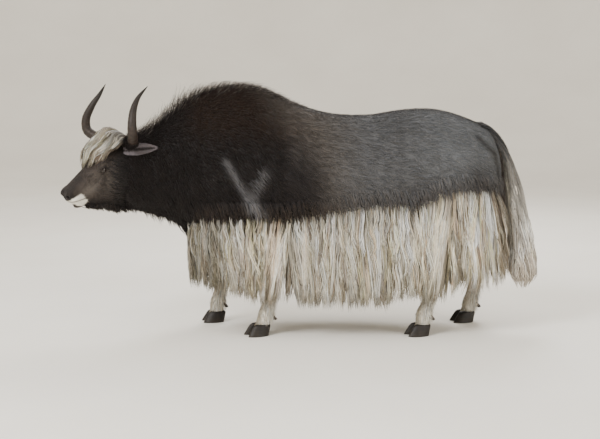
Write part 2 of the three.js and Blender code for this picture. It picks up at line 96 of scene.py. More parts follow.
# half sizes under the hair, fore and aft then across
FORE_SIZE = [[37, 40], [34, 37], [27, 27], [42, 38], [46, 40], [70, 48], [84, 54]]
HIND_SIZE = [[37, 40], [34, 37], [28, 27], [46, 35], [50, 40], [84, 52], [104, 58]]
CURTAIN = [[-592, 158], [-560, 196], [-500, 232], [-400, 270], [-250, 303], [-50, 325], [150, 338], [330, 340], [520, 328], [700, 308],
           [860, 284], [980, 248], [1052, 196], [1088, 128], [1096, 78]]
PALE_LINE = [[-620, 592], [-560, 622], [-400, 636], [-60, 644], [120, 672], [310, 706], [500, 720], [620, 704], [700, 748], [800, 784],
             [990, 788], [1080, 776], [1120, 762]]
HEM = [[-620, 262], [-520, 240], [-400, 212], [-250, 182], [-100, 164], [100, 158], [350, 152], [520, 166], [620, 192], [700, 172],
       [790, 156], [900, 186], [1000, 236], [1100, 285]]
TAIL = [[1030, 0, 1118, 30, 34], [1092, -2, 1046, 36, 44], [1146, -4, 930, 40, 56], [1184, -8, 780, 52, 70], [1218, -12, 600, 64, 84],
        [1240, -14, 430, 72, 90], [1246, -16, 300, 68, 80], [1244, -14, 196, 28, 36]]


# ------------------------------------------------------------------ small tools
def through(table, k, key=0):
    """A smooth value through the stations of a table: column k as a function of column key."""
    t = np.array(sorted(table, key=lambda r: r[key]), float)
    x, y = t[:, key], t[:, k]
    s = np.empty(len(x))
    d = np.diff(y) / np.diff(x)
    s[0], s[-1] = d[0], d[-1]
    s[1:-1] = (d[:-1] * np.diff(x)[1:] + d[1:] * np.diff(x)[:-1]) / (x[2:] - x[:-2])

    def value(at):
        v = np.clip(np.asarray(at, float), x[0], x[-1])
        i = np.clip(np.searchsorted(x, v, side="right") - 1, 0, len(x) - 2)
        h = x[i + 1] - x[i]
        u = (v - x[i]) / h
        return (y[i] * (1 + 2 * u) * (1 - u) ** 2 + s[i] * h * u * (1 - u) ** 2
                + y[i + 1] * u * u * (3 - 2 * u) + s[i + 1] * h * u * u * (u - 1))

    return value


def step(v, lo, hi):
    t = np.clip((v - lo) / (hi - lo), 0, 1)
    return t * t * (3 - 2 * t)


def unit(v):
    return v / np.maximum(np.linalg.norm(v, axis=-1, keepdims=True), 1e-9)


def mix(a, b, t):
    t = np.asarray(t)[..., None] if np.ndim(a) and np.ndim(t) == np.ndim(a) - 1 else t
    return a * (1 - t) + b * t


def signed_power(v, n):
    return np.sign(v) * np.abs(v) ** (2 / n)


def tone(r, g, b):
    """A screen colour as linear light."""
    c = np.array([r, g, b], float) / 255
    return np.where(c <= 0.04045, c / 12.92, ((c + 0.055) / 1.055) ** 2.4)


class Waves:
    """Smooth noise from -1 to 1: a few seeded waves in random directions."""

    def __init__(self, seed, size, count=9, dims=3):
        r = np.random.default_rng(seed)
        self.k = unit(r.normal(size=(count, dims))) * (2 * math.pi / size) * r.uniform(0.6, 1.6, (count, 1))
        self.p = r.uniform(0, 2 * math.pi, count)

    def __call__(self, p):
        shape = p.shape[:-1]
        v = np.sin(p.reshape(-1, p.shape[-1]) @ self.k.T + self.p).sum(1) / math.sqrt(len(self.p) / 2)
        return np.clip(v, -2, 2).reshape(shape) / 1.6


yaw, pitch, roll = (math.radians(v) for v in (HEAD_YAW, HEAD_PITCH, HEAD_ROLL))
_skull = Matrix.Translation(Vector(POLL)) @ Matrix.Rotation(math.pi + yaw, 4, "Z") @ Matrix.Rotation(roll, 4, "X")
_face = _skull @ Matrix.Rotation(pitch, 4, "Y")
SKULL, FACE = np.array(_skull), np.array(_face)


def out_of(m, p):
    return p @ m[:3, :3].T + m[:3, 3]


def into(m, p):
    return (p - m[:3, 3]) @ m[:3, :3]


b_lo, b_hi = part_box("barrel")
SHIFT = np.array([b_lo.x * 1000 + 20, (b_lo.y + b_hi.y) * 500, 0.0])  # the barrel starts at x = -20 and is centred


def metres(p):
    return (p + SHIFT) / 1000


# ------------------------------------------------------------------ neck and trunk
b_top, b_low, b_half, b_ridge = (through(BODY, k) for k in (1, 2, 3, 4))


def bend(x):
    return NECK_BEND * np.clip((-560 - x) / 400, 0, 1) ** 1.5


def body_dome(x):
    return np.sqrt(np.maximum(0.03, 1 - np.clip((x - (BODY_REAR - BODY_DOME)) / BODY_DOME, 0, 0.985) ** 2))


def body_at(x, a, depth=0.0):
    """A point of the swept form: a is the angle from the top, towards +Y. depth goes inwards."""
    dome = body_dome(x)
    high, low = b_top(x), b_low(x)
    mid = low + WAIST * (high - low)
    up, down, half = (high - mid) * dome - depth, (mid - low) * dome - depth, b_half(x) * dome - depth
    c, s = signed_power(np.cos(a), 2.25), signed_power(np.sin(a), 2.25)
    y = bend(x) + half * s * (1 - b_ridge(x) * np.maximum(0, c) ** 1.4)
    return np.stack([x + 0 * a, y, mid + np.where(c > 0, up, down) * c], -1)


def body_frame(x, a, depth=0.0):
    """Point, outward normal, direction along the body and direction round it (towards the belly)."""
    p = body_at(x, a, depth)
    ex = unit(body_at(x + 2, a, depth) - body_at(x - 2, a, depth))
    down = np.where(np.sin(a) >= 0, 1.0, -1.0)
    ea = unit((body_at(x, a + 0.01, depth) - body_at(x, a - 0.01, depth))) * down[..., None]
    n = unit(np.cross(ea, ex)) * -down[..., None]
    mid = body_at(x, a, depth + 10)
    n = n * np.sign(np.sum(n * (p - mid), -1, keepdims=True) + 1e-9)
    return p, n, ex, ea


def coat_depth(x, top=0.0):
    """How deep the skin lies under the tips: shaggy on neck and hump, close on the flanks."""
    return 11 + 19 * (1 - step(x, -260, 80)) + 4 * step(x, 900, 1080)


def oval(y, z, half, up, down):
    """Rough distance from a rounded section, with its middle at the origin."""
    h = np.where(z > 0, up, down)
    rho = ((np.abs(y) / half) ** 2.25 + (np.abs(z) / h) ** 2.25) ** (1 / 2.25)
    r = np.sqrt(y * y + z * z)
    return np.where(rho > 1e-6, r * (1 - 1 / np.maximum(rho, 1e-6)), -np.minimum(half, h))


def f_body(p):
    x = p[:, 0]
    d = coat_depth(x)
    dome = body_dome(x)
    high, low = b_top(x), b_low(x)
    mid = low + WAIST * (high - low)
    up, down, half = (high - mid) * dome - d, (mid - low) * dome - d, b_half(x) * dome - d
    up, down, half = (np.maximum(v, 8) for v in (up, down, half))
    c = np.clip((p[:, 2] - mid) / up, 0, 1)
    f = oval(p[:, 1] - bend(x), p[:, 2] - mid, half * (1 - b_ridge(x) * c ** 1.4), up, down)
    return np.maximum(np.maximum(f, x - (BODY_REAR - 14)), -985 - x)


# ------------------------------------------------------------------ head
h_brow, h_jaw, h_half = (through(HEAD, k) for k in (1, 2, 3))


def ball_f(q, centre, radii):
    v = (q - np.array(centre)) / np.array(radii)
    r = np.linalg.norm(v, axis=1)
    return (r - 1) * min(radii)


def blend_min(a, b, k):
    h = np.clip(0.5 + 0.5 * (b - a) / k, 0, 1)
    return b * (1 - h) + a * h - k * h * (1 - h)


def f_head(p):
    q = into(FACE, p)
    x = q[:, 0]
    end = np.minimum(np.clip((x + 60) / 50, 0, 1), np.clip((HEAD_END - x) / 34, 0, 1))
    dome = np.sqrt(np.maximum(0.06, 1 - (1 - end) ** 2))
    high, low = h_brow(x), h_jaw(x)
    mid = low + 0.56 * (high - low)
    up, down = (high - mid) * dome, (mid - low) * dome
    z = q[:, 2] - mid
    c = np.clip(z / np.where(z > 0, up, down), -1, 1)
    half = h_half(x) * dome * (1 - 0.36 * np.maximum(0, -c) ** 1.5 - 0.12 * np.maximum(0, c) ** 3)
    f = oval(q[:, 1], z, half, up, down)
    f = np.maximum(f, np.maximum(-60 - x, x - HEAD_END))
    m = q.copy()
    m[:, 1] = np.abs(m[:, 1])
    f = blend_min(f, ball_f(m, (196, 64, -50), (50, 35, 37)), 16)  # orbit
    f = blend_min(f, ball_f(m, (184, 78, -25), (40, 22, 17)), 12)  # brow
    f = blend_min(f, ball_f(m, (236, 72, -94), (52, 18, 20)), 16)  # cheek bone
    f = blend_min(f, ball_f(m, (120, 72, -170), (66, 28, 70)), 26)  # jaw muscle
    f = blend_min(f, ball_f(m, (407, 27, -56), (35, 26, 26)), 12)  # soft flesh round the nostril
    f = blend_min(f, ball_f(m, (392, 24, -96), (46, 33, 24)), 12)  # upper lip
    f = blend_min(f, ball_f(m, (386, 0, -142), (42, 37, 22)), 10)  # chin
    f = -blend_min(-f, ball_f(m, (326, 68, -86), (64, 10, 19)), 24)  # hollow along the bridge of the nose
    f = -blend_min(-f, ball_f(m, (437, 26, -62), (15, 8.5, 11)), 5)  # nostril
    f = -blend_min(-f, ball_f(m, (441, 0, -78), (10, 1.6, 20)), 4)  # groove of the nose pad
    return f


# ------------------------------------------------------------------ limbs and dock
def limb_tables(name):
    (fx, fy), line = LIMBS[name]
    size = FORE_SIZE if name.startswith("fore") else HIND_SIZE
    rows = [[p[2], fx + p[0], fy + p[1], s[0], s[1]] for p, s in zip(line, size)]
    return [through(rows, k) for k in (1, 2, 3, 4)]


LIMB = {n: limb_tables(n) for n in LIMBS}


def f_limb(p, name):
    px, py, sx, sy = LIMB[name]
    z = p[:, 2]
    x0, y0, a, b = px(z), py(z), sx(z), sy(z)
    u, v = p[:, 0] - x0, p[:, 1] - y0
    hind = name.startswith("hind")
    # knee or hock, tendons and fetlock stand out a little
    zj = 372 if hind else 335
    bump = 6 * np.exp(-((z - zj) / 34) ** 2) + 6 * np.exp(-((z - 118) / 24) ** 2)
    back = np.clip(u / np.maximum(a, 1), -1, 1)
    a2 = a + bump * np.where(back > 0, 1.3, 0.6) + (10 if hind else 3) * np.exp(-((z - zj - 16) / 30) ** 2) * np.maximum(back, 0)
    b2 = b + bump * 0.5 - 4 * np.exp(-((z - 200) / 60) ** 2)
    rho = np.sqrt((u / a2) ** 2 + (v / b2) ** 2)
    r = np.sqrt(u * u + v * v)
    f = r * (1 - 1 / np.maximum(rho, 1e-4))
    f = np.where(rho < 1e-3, -b2, f)
    return np.maximum(f, np.maximum(56 - z, z - 735))


t_x, t_y, t_a, t_b = (through(TAIL, k, key=2) for k in (0, 1, 3, 4))


def f_dock(p):
    z = p[:, 2]
    r = 30 - 16 * step(-z, -1050, -700)
    u, v = p[:, 0] - t_x(z), p[:, 1] - t_y(z)
    return np.maximum(np.sqrt(u * u * 0.8 + v * v) - r, np.maximum(640 - z, z - 1106))


BOX = {"head": ((-1330, -340, 600), (-800, 130, 1150)), "dock": ((1000, -60, 620), (1260, 60, 1130))}
for _n, ((_fx, _fy), _l) in LIMBS.items():
    _xs = [_fx + q[0] for q in _l]
    BOX[_n] = ((min(_xs) - 130, _fy - 110, 40), (max(_xs) + 130, _fy + 110, 760))


def f_all(p):
    """The skin as one smooth form: negative inside."""
    f = f_body(p)
    for name, (lo, hi) in BOX.items():
        inside = np.all((p > np.array(lo)) & (p < np.array(hi)), axis=1)
        if not inside.any():
            continue
        q = p[inside]
        g = f_head(q) if name == "head" else f_dock(q) if name == "dock" else f_limb(q, name)
        f[inside] = blend_min(f[inside], g, 26 if name == "head" else 22 if name == "dock" else 34)
    return f


def surface_nets(lo, hi, size):
    """A mesh of quads where f_all crosses zero on a grid."""
    lo, hi = np.array(lo, float), np.array(hi, float)
    n = np.ceil((hi - lo) / size).astype(int) + 1
    axes = [lo[k] + size * np.arange(n[k]) for k in range(3)]
    v = np.empty(n)
    for i in range(n[0]):
        yy, zz = np.meshgrid(axes[1], axes[2], indexing="ij")
        p = np.stack([np.full(yy.size, axes[0][i]), yy.ravel(), zz.ravel()], 1)
        v[i] = f_all(p).reshape(yy.shape)
    inside = v < 0
    total = np.zeros((*(n - 1), 3))
    count = np.zeros(n - 1)
    for axis in range(3):
        others = [k for k in range(3) if k != axis]
        a = [slice(None)] * 3
        b = [slice(None)] * 3
        a[axis], b[axis] = slice(0, -1), slice(1, None)
        va, vb = v[tuple(a)], v[tuple(b)]
        cross = inside[tuple(a)] != inside[tuple(b)]
        t = np.where(cross, va / np.where(cross, va - vb, 1), 0)
        for du in (0, 1):
            for dv in (0, 1):
                s = [slice(None)] * 3
                s[others[0]] = slice(du, n[others[0]] - 1 + du)
                s[others[1]] = slice(dv, n[others[1]] - 1 + dv)
                c = cross[tuple(s)]
                tt = t[tuple(s)]
                count += c
                total[..., axis] += np.where(c, tt, 0)
                total[..., others[0]] += c * du
                total[..., others[1]] += c * dv
    live = count > 0
    index = -np.ones(n - 1, int)
    index[live] = np.arange(live.sum())
    cell = np.argwhere(live)
    verts = lo + size * (cell + total[live] / count[live][:, None])
    quads = []
    for axis in range(3):
        u, w = (axis + 1) % 3, (axis + 2) % 3
        a = [slice(None)] * 3
        b = [slice(None)] * 3
        a[axis], b[axis] = slice(0, -1), slice(1, None)
        cross = inside[tuple(a)] != inside[tuple(b)]
        e = np.argwhere(cross)
        e = e[(e[:, u] > 0) & (e[:, w] > 0) & (e[:, u] < n[u] - 1) & (e[:, w] < n[w] - 1)]
        first = inside[tuple(a)][tuple(e.T)]
        corner = []
        for du, dw in ((-1, -1), (0, -1), (0, 0), (-1, 0)):
            c = e.copy()
            c[:, u] += du
            c[:, w] += dw
            corner.append(index[tuple(c.T)])
        q = np.stack(corner, 1)
        q[~first] = q[~first][:, ::-1]
        quads.append(q)
    return verts, np.concatenate(quads)


def slide_to_skin(v, rounds=3, reach=6.0):
    for _ in range(rounds):
        f = f_all(v)
        e = 0.6
        g = np.stack([f_all(v + np.eye(3)[k] * e) - f for k in range(3)], 1) / e
        v = v - np.clip(f / np.maximum((g * g).sum(1), 0.15), -reach, reach)[:, None] * g
    return v


# ------------------------------------------------------------------ colours of the coat, shared by skin and tufts
C = {
    "dark": tone(25, 19, 18), "slate": tone(87, 87, 89), "rump": tone(104, 106, 109), "spine": tone(44, 39, 37),
    "face": tone(58, 51, 47), "face_light": tone(96, 89, 82), "white": tone(232, 227, 216), "cream": tone(212, 203, 184),
    "straw": tone(172, 164, 132), "tan": tone(198, 178, 154), "grey_brown": tone(160, 149, 143), "umber": tone(132, 112, 94),
    "pad": tone(30, 25, 24), "ear": tone(112, 105, 109), "fawn": tone(196, 172, 150), "black": tone(20, 16, 15),
}
noise_big, noise_mid, noise_low, noise_small = Waves(1, 420), Waves(2, 90), Waves(3, 160), Waves(4, 22)


def body_colour(p):
    """Neck, shoulders and hump nearly black; flank and rump slate, partly coat colour and partly painted sheen; a dark
    line down the back; a painted highlight as a faint grey fork behind the elbow; painted shade on the thigh and along
    the tail's edge.
    """
    x, y, z = p[:, 0], p[:, 1], p[:, 2]
    edge = np.interp(z, [560, 640, 700, 760, 870, 985, 1100, 1200, 1300, 1400], [-20, 40, 112, 155, 145, 66, -30, -120, -205, -270])
    t = step(x - edge + 26 * noise_big(p) + 8 * noise_mid(p), -150, 150)
    col = mix(np.broadcast_to(C["dark"], p.shape), tone(38, 26, 19), step(z, 980, 1180) * step(x, -700, -500))
    # the slate of flank and rump is partly coat colour and partly painted sheen
    col = mix(col, mix(np.broadcast_to(tone(84, 78, 73), p.shape), C["slate"], step(x, 60, 420)), t * (0.8 + 0.2 * step(x, 0, 220)))
    # painted sheen: the top of the rump is lighter
    rump = step(x, 500, 860) * step(z, 760, 960)
    col = mix(col, C["rump"], 0.8 * rump * t)
    col = mix(col, C["spine"], t * (1 - step(np.abs(y), 26, 100)) * step(z - (b_top(x) - 70), 0, 60) * 0.8)
    low = step(-(z - np.interp(x, [-60, 500, 700, 1000], [760, 810, 850, 880])), -110, 90)
    col = mix(col, C["spine"] * 1.2, 0.42 * low * t)
    # the fork: two soft pale streaks that meet low on the shoulder, a painted highlight on the fold behind the elbow
    for (x0, z0), (x1, z1), w, g in (((-392, 948), (-270, 752), 20, 0.8), ((-270, 752), (-196, 668), 30, 0.9), ((-180, 880), (-256, 760), 24, 0.75)):
        d = np.array([x1 - x0, z1 - z0], float)
        s = np.clip(((x - x0) * d[0] + (z - z0) * d[1]) / (d @ d), 0, 1)
        r = np.hypot(x - x0 - s * d[0], z - z0 - s * d[1])
        col = mix(col, tone(112, 110, 112), g * np.exp(-(r / w) ** 2) * (0.62 + 0.38 * np.sin(math.pi * np.clip(s * 0.8 + 0.15, 0, 1))))
    # painted shade: the thigh darkens towards the buttock, under a painted shadow line that runs down from the root of
    # the tail
    col = mix(col, C["spine"], 0.55 * np.exp(-(((x - 962) / 66) ** 2 + ((z - 846) / 105) ** 2)))
    for (x0, z0), (x1, z1) in (((966, 1076), (1056, 985)), ((1056, 985), (1078, 880))):
        d = np.array([x1 - x0, z1 - z0], float)
        s = np.clip(((x - x0) * d[0] + (z - z0) * d[1]) / (d @ d), 0, 1)
        col = mix(col, C["spine"] * 0.7, 0.72 * np.exp(-(np.hypot(x - x0 - s * d[0], z - z0 - s * d[1]) / 15) ** 2))
    return col


def head_colour(q):
    """q is in the head's own frame."""
    a, l, u = q[:, 0], np.abs(q[:, 1]), q[:, 2]
    col = np.broadcast_to(C["face"], q.shape)
    col = mix(col, C["face_light"], 0.75 * np.exp(-(((a - 326) / 52) ** 2 + ((u + 98) / 30) ** 2)))
    col = mix(col, C["face_light"], 0.5 * np.exp(-(((a - 190) / 60) ** 2 + ((u + 150) / 60) ** 2)))
    col = mix(col, C["face_light"], 0.35 * np.exp(-(((a - 262) / 30) ** 2 + ((u + 60) / 20) ** 2)))
    s = np.clip(((a - 214) * 58 - (u + 62) * 84) / (58.0 ** 2 + 84.0 ** 2), 0, 1)  # streak down from the eye
    col = mix(col, C["black"], 0.32 * np.exp(-((np.hypot(a - 214 - 58 * s, u + 62 + 84 * s)) / 15) ** 2))
    col = mix(col, C["black"], 0.5 * step(a, 250, 330) * step(u - h_brow(a), -34, -12))  # dark bridge of the nose
    col = mix(col, C["black"], 0.9 * step(out_of(FACE, q)[:, 0], -1052, -938))
    col = mix(col, C["dark"], 0.7 * step(-(u - h_jaw(a)), -90, -10))
    col = mix(col, C["black"], 0.8 * np.exp(-(((a - 206) / 31) ** 2 + ((u + 50) / 17) ** 2)) * step(l, 60, 80))
    col = mix(col, C["face_light"], 0.3 * np.exp(-((np.hypot((a - 206) / 1.25, u + 50) - 27) / 5) ** 2) * step(l, 60, 80))  # pale ring of the lids
    back = np.interp(u, [-166, -143, -87], [384, 358, 374])
    low = np.interp(a, [357, 385, 431, 446], [-148, -166, -130, -114])
    lips = step(a - back + 3 * noise_small(q), -6, 6) * step(-87 + (a - 376) * 0.157 - u, -5, 6) * step(u - low, -4, 6) * step(l, 12, 24)
    lips = np.maximum(lips, step(a, 412, 424) * step(-u, 84, 92) * step(u, -128, -118))
    col = mix(col, C["white"], lips * 0.97)
    col = mix(col, C["pad"], 0.8 * step(a, 404, 420) * (1 - step(-u, 76, 84)))
    pad = step(a - 0.3 * (l - 16), 420, 430) * (1 - step(-u, 82, 89)) * (1 - step(l, 32, 40))
    col = mix(col, C["pad"], pad)
    line = -98 - 0.40 * np.maximum(440 - a, 0)
    col = mix(col, C["pad"], 0.8 * np.exp(-((u - line) / 3.2) ** 2) * step(a, 344, 358))
    return col


def leg_colour(p, name):
    z = p[:, 2]
    near = name.endswith("left")
    base = mix(np.broadcast_to(C["cream"], p.shape), C["white"], 0.6 * (1 - step(z, 200, 330)))
    n = noise_mid(p) + 0.6 * noise_low(p)
    base = mix(base, C["fawn"], np.clip(0.35 + 0.45 * n, 0, 0.8) * step(z, 130, 300))
    px, py, sx, sy = LIMB[name]
    front = step(-(p[:, 0] - px(z)), 6, 30)
    base = mix(base, mix(C["straw"], C["umber"], 0.5) * 0.8, front * 0.65)
    # painted shade: the far legs are browner, as they stand in shade
    if not near:
        base = mix(base, C["umber"], (0.5 if name.startswith("fore") else 0.25) * step(z, 110, 200))
    return mix(base, C["umber"], 0.45 * (1 - step(z, 60, 72)))


def skin_colour(p):
    col = body_colour(p).copy()
    # painted shade: the skin under the close coat of barrel and rump is darkened, as it lies in the shade of the tufts
    col = col * (1 - 0.22 * step(p[:, 0], -100, 120))[:, None]
    pale = step(-(p[:, 2] - through(PALE_LINE, 1)(p[:, 0])), 6, 30) * step(p[:, 0], -640, -560)
    col = mix(col, C["grey_brown"], pale * 0.8)
    fb = f_body(p)
    q = into(FACE, p)
    lo, hi = BOX["head"]
    near = np.all((p > np.array(lo)) & (p < np.array(hi)), axis=1)
    w = np.zeros(len(p))
    w[near] = step(fb[near] - f_head(p[near]), -6, 14)
    col = mix(col, head_colour(q), w)
    for name in LIMB:
        lo, hi = BOX[name]
        near = np.all((p > np.array(lo)) & (p < np.array(hi)), axis=1)
        w = np.zeros(len(p))
        w[near] = step(fb[near] - f_limb(p[near], name), -10, 30)
        col = mix(col, leg_colour(p, name), w)
    lo, hi = BOX["dock"]
    near = np.all((p > np.array(lo)) & (p < np.array(hi)), axis=1)
    w = np.zeros(len(p))
    w[near] = step(fb[near] - f_dock(p[near]), -6, 10)
    return mix(col, np.broadcast_to(C["slate"] * 0.9, p.shape), w)


# ------------------------------------------------------------------ meshes and materials
def new_mesh(name, verts, loops, starts, uv=None, attrs=None, smooth=True):
    me = bpy.data.meshes.new(name)
    me.vertices.add(len(verts))
    me.vertices.foreach_set("co", np.ascontiguousarray(verts, np.float32).ravel())
    me.loops.add(len(loops))
    me.loops.foreach_set("vertex_index", np.ascontiguousarray(loops, np.int32))
    me.polygons.add(len(starts))
    me.polygons.foreach_set("loop_start", np.ascontiguousarray(starts, np.int32))
    me.update(calc_edges=True)
    me.validate()
    if uv is not None:
        layer = me.uv_layers.new(name="OFBake")
        layer.data.foreach_set("uv", np.ascontiguousarray(uv, np.float32).ravel())
    for key, value in (attrs or {}).items():
        if value.shape[1] == 3 and key.startswith("tint"):
            at = me.color_attributes.new(name=key, type="FLOAT_COLOR", domain="POINT")
            at.data.foreach_set("color", np.concatenate([value, np.ones((len(value), 1))], 1).astype(np.float32).ravel())
        else:
            at = me.attributes.new(name=key, type="FLOAT_VECTOR", domain="POINT")
            at.data.foreach_set("vector", np.ascontiguousarray(value, np.float32).ravel())
    me.polygons.foreach_set("use_smooth", np.full(len(me.polygons), smooth))
    ob = bpy.data.objects.new(name, me)
    bpy.context.scene.collection.objects.link(ob)
    return ob


def material(name):
    m = bpy.data.materials.new(name)
    m.use_nodes = True
    nt = m.node_tree
    nt.nodes.clear()
    out = nt.nodes.new("ShaderNodeOutputMaterial")
    b = nt.nodes.new("ShaderNodeBsdfPrincipled")
    nt.links.new(b.outputs["BSDF"], out.inputs["Surface"])
    return m, nt, b


def node(nt, kind, **values):
    n = nt.nodes.new(kind)
    for k, v in values.items():
        if k in n.inputs:
            n.inputs[k].default_value = v
        else:
            setattr(n, k, v)
    return n


def stretched(nt, scale, source="Object", attribute=None):
    """Coordinates for a pattern drawn out along one way."""
    if attribute:
        c = nt.nodes.new("ShaderNodeAttribute")
        c.attribute_name = attribute
        out = c.outputs["Vector"]
    else:
        c = nt.nodes.new("ShaderNodeTexCoord")
        out = c.outputs[source]
    m = nt.nodes.new("ShaderNodeMapping")
    m.inputs["Scale"].default_value = scale
    nt.links.new(out, m.inputs["Vector"])
    return m.outputs["Vector"]


def ramp(nt, source, stops):
    r = nt.nodes.new("ShaderNodeValToRGB")
    e = r.color_ramp.elements
    while len(e) < len(stops):
        e.new(0.5)
    for el, (pos, col) in zip(e, stops):
        el.position, el.color = pos, (*col, 1)
    nt.links.new(source, r.inputs["Fac"])
    return r.outputs["Color"]


def multiply(nt, a, b, fac=1.0):
    m = nt.nodes.new("ShaderNodeMix")
    m.data_type, m.blend_type = "RGBA", "MULTIPLY"
    m.inputs["Factor"].default_value = fac
    nt.links.new(a, m.inputs["A"])
    nt.links.new(b, m.inputs["B"])
    return m.outputs["Result"]


def hair_material(name, roughness=0.72, sheen=0.04, fleck=260.0, spread=0.2, specular=0.16):
    """Tufts: their own colour, varied along and across by fine noise, with a soft silky highlight."""
    m, nt, b = material(name)
    col = nt.nodes.new("ShaderNodeAttribute")
    col.attribute_name = "tint"
    n = node(nt, "ShaderNodeTexNoise", Scale=fleck, Detail=3.0, Roughness=0.6)
    nt.links.new(stretched(nt, (1, 1, 0.22)), n.inputs["Vector"])
    lo, hi = 1 - spread, 1 + spread * 0.6
    shade = ramp(nt, n.outputs["Fac"], [(0.3, (lo, lo, lo)), (0.7, (hi, hi, hi * 0.99))])
    nt.links.new(multiply(nt, col.outputs["Color"], shade), b.inputs["Base Color"])
    rough = ramp(nt, n.outputs["Fac"], [(0.2, (roughness - 0.1,) * 3), (0.8, (roughness + 0.1,) * 3)])
    nt.links.new(rough, b.inputs["Roughness"])
    b.inputs["Specular IOR Level"].default_value = specular
    b.inputs["Sheen Weight"].default_value = sheen
    b.inputs["Sheen Roughness"].default_value = 0.5
    bump = node(nt, "ShaderNodeBump", Strength=0.35, Distance=0.002)
    nt.links.new(n.outputs["Fac"], bump.inputs["Height"])
    nt.links.new(bump.outputs["Normal"], b.inputs["Normal"])
    return m


def skin_material():
    """The short coat as bump: fine streaks that follow its lie, over leathery folds."""
    m, nt, b = material("yak_skin")
    col = nt.nodes.new("ShaderNodeAttribute")
    col.attribute_name = "tint"
    streak = node(nt, "ShaderNodeTexNoise", Scale=1.0, Detail=4.0, Roughness=0.65)
    nt.links.new(stretched(nt, (1, 1, 1), attribute="lie"), streak.inputs["Vector"])
    blotch = node(nt, "ShaderNodeTexNoise", Scale=16.0, Detail=3.0)
    nt.links.new(stretched(nt, (1, 1, 1)), blotch.inputs["Vector"])
    shade = multiply(nt, ramp(nt, streak.outputs["Fac"], [(0.3, (0.72, 0.72, 0.72)), (0.7, (1.14, 1.14, 1.13))]),
                     ramp(nt, blotch.outputs["Fac"], [(0.3, (0.93, 0.93, 0.94)), (0.7, (1.05, 1.05, 1.04))]))
    nt.links.new(multiply(nt, col.outputs["Color"], shade), b.inputs["Base Color"])
    nt.links.new(ramp(nt, streak.outputs["Fac"], [(0.2, (0.5,) * 3), (0.8, (0.78,) * 3)]), b.inputs["Roughness"])
    b.inputs["Specular IOR Level"].default_value = 0.18
    b.inputs["Sheen Weight"].default_value = 0.04
    bump = node(nt, "ShaderNodeBump", Strength=0.7, Distance=0.004)
    nt.links.new(streak.outputs["Fac"], bump.inputs["Height"])
    nt.links.new(bump.outputs["Normal"], b.inputs["Normal"])
    return m


def horn_material():
    m, nt, b = material("yak_horn")
    rings = node(nt, "ShaderNodeTexNoise", Scale=1.0, Detail=5.0, Roughness=0.6)
    nt.links.new(stretched(nt, (1, 1, 1), attribute="lie"), rings.inputs["Vector"])
    fine = node(nt, "ShaderNodeTexNoise", Scale=420.0, Detail=3.0)
    nt.links.new(stretched(nt, (1, 1, 0.1)), fine.inputs["Vector"])
    col = nt.nodes.new("ShaderNodeAttribute")
    col.attribute_name = "tint"
    shade = multiply(nt, ramp(nt, rings.outputs["Fac"], [(0.3, (0.5, 0.48, 0.46)), (0.7, (1.3, 1.27, 1.2))]),
                     ramp(nt, fine.outputs["Fac"], [(0.3, (0.85, 0.85, 0.85)), (0.7, (1.12, 1.1, 1.08))]))
    nt.links.new(multiply(nt, col.outputs["Color"], shade), b.inputs["Base Color"])
    nt.links.new(ramp(nt, rings.outputs["Fac"], [(0.2, (0.42,) * 3), (0.8, (0.62,) * 3)]), b.inputs["Roughness"])
    b.inputs["Specular IOR Level"].default_value = 0.3
    bump = node(nt, "ShaderNodeBump", Strength=0.5, Distance=0.002)
    nt.links.new(rings.outputs["Fac"], bump.inputs["Height"])
    nt.links.new(bump.outputs["Normal"], b.inputs["Normal"])
    return m


def eye_material():
    """Nearly black-brown iris with a level oblong pupil, under a wet surface."""
    m, nt, b = material("yak_eye")
    at = nt.nodes.new("ShaderNodeAttribute")
    at.attribute_name = "tint"
    n = node(nt, "ShaderNodeTexNoise", Scale=900.0, Detail=2.0)
    nt.links.new(stretched(nt, (1, 1, 1)), n.inputs["Vector"])
    shade = ramp(nt, n.outputs["Fac"], [(0.3, (0.7, 0.7, 0.7)), (0.7, (1.25, 1.2, 1.15))])
    nt.links.new(multiply(nt, at.outputs["Color"], shade), b.inputs["Base Color"])
    nt.links.new(ramp(nt, n.outputs["Fac"], [(0.2, (0.06,) * 3), (0.8, (0.12,) * 3)]), b.inputs["Roughness"])
    b.inputs["Specular IOR Level"].default_value = 0.42
    b.inputs["Coat Weight"].default_value = 0.2
    b.inputs["Coat Roughness"].default_value = 0.1
    return m


def place(ob, mat, slot, *nodes):
    ob.data.materials.append(mat)
    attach(ob, "root")
    if nodes:
        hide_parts(*nodes)
    return ob


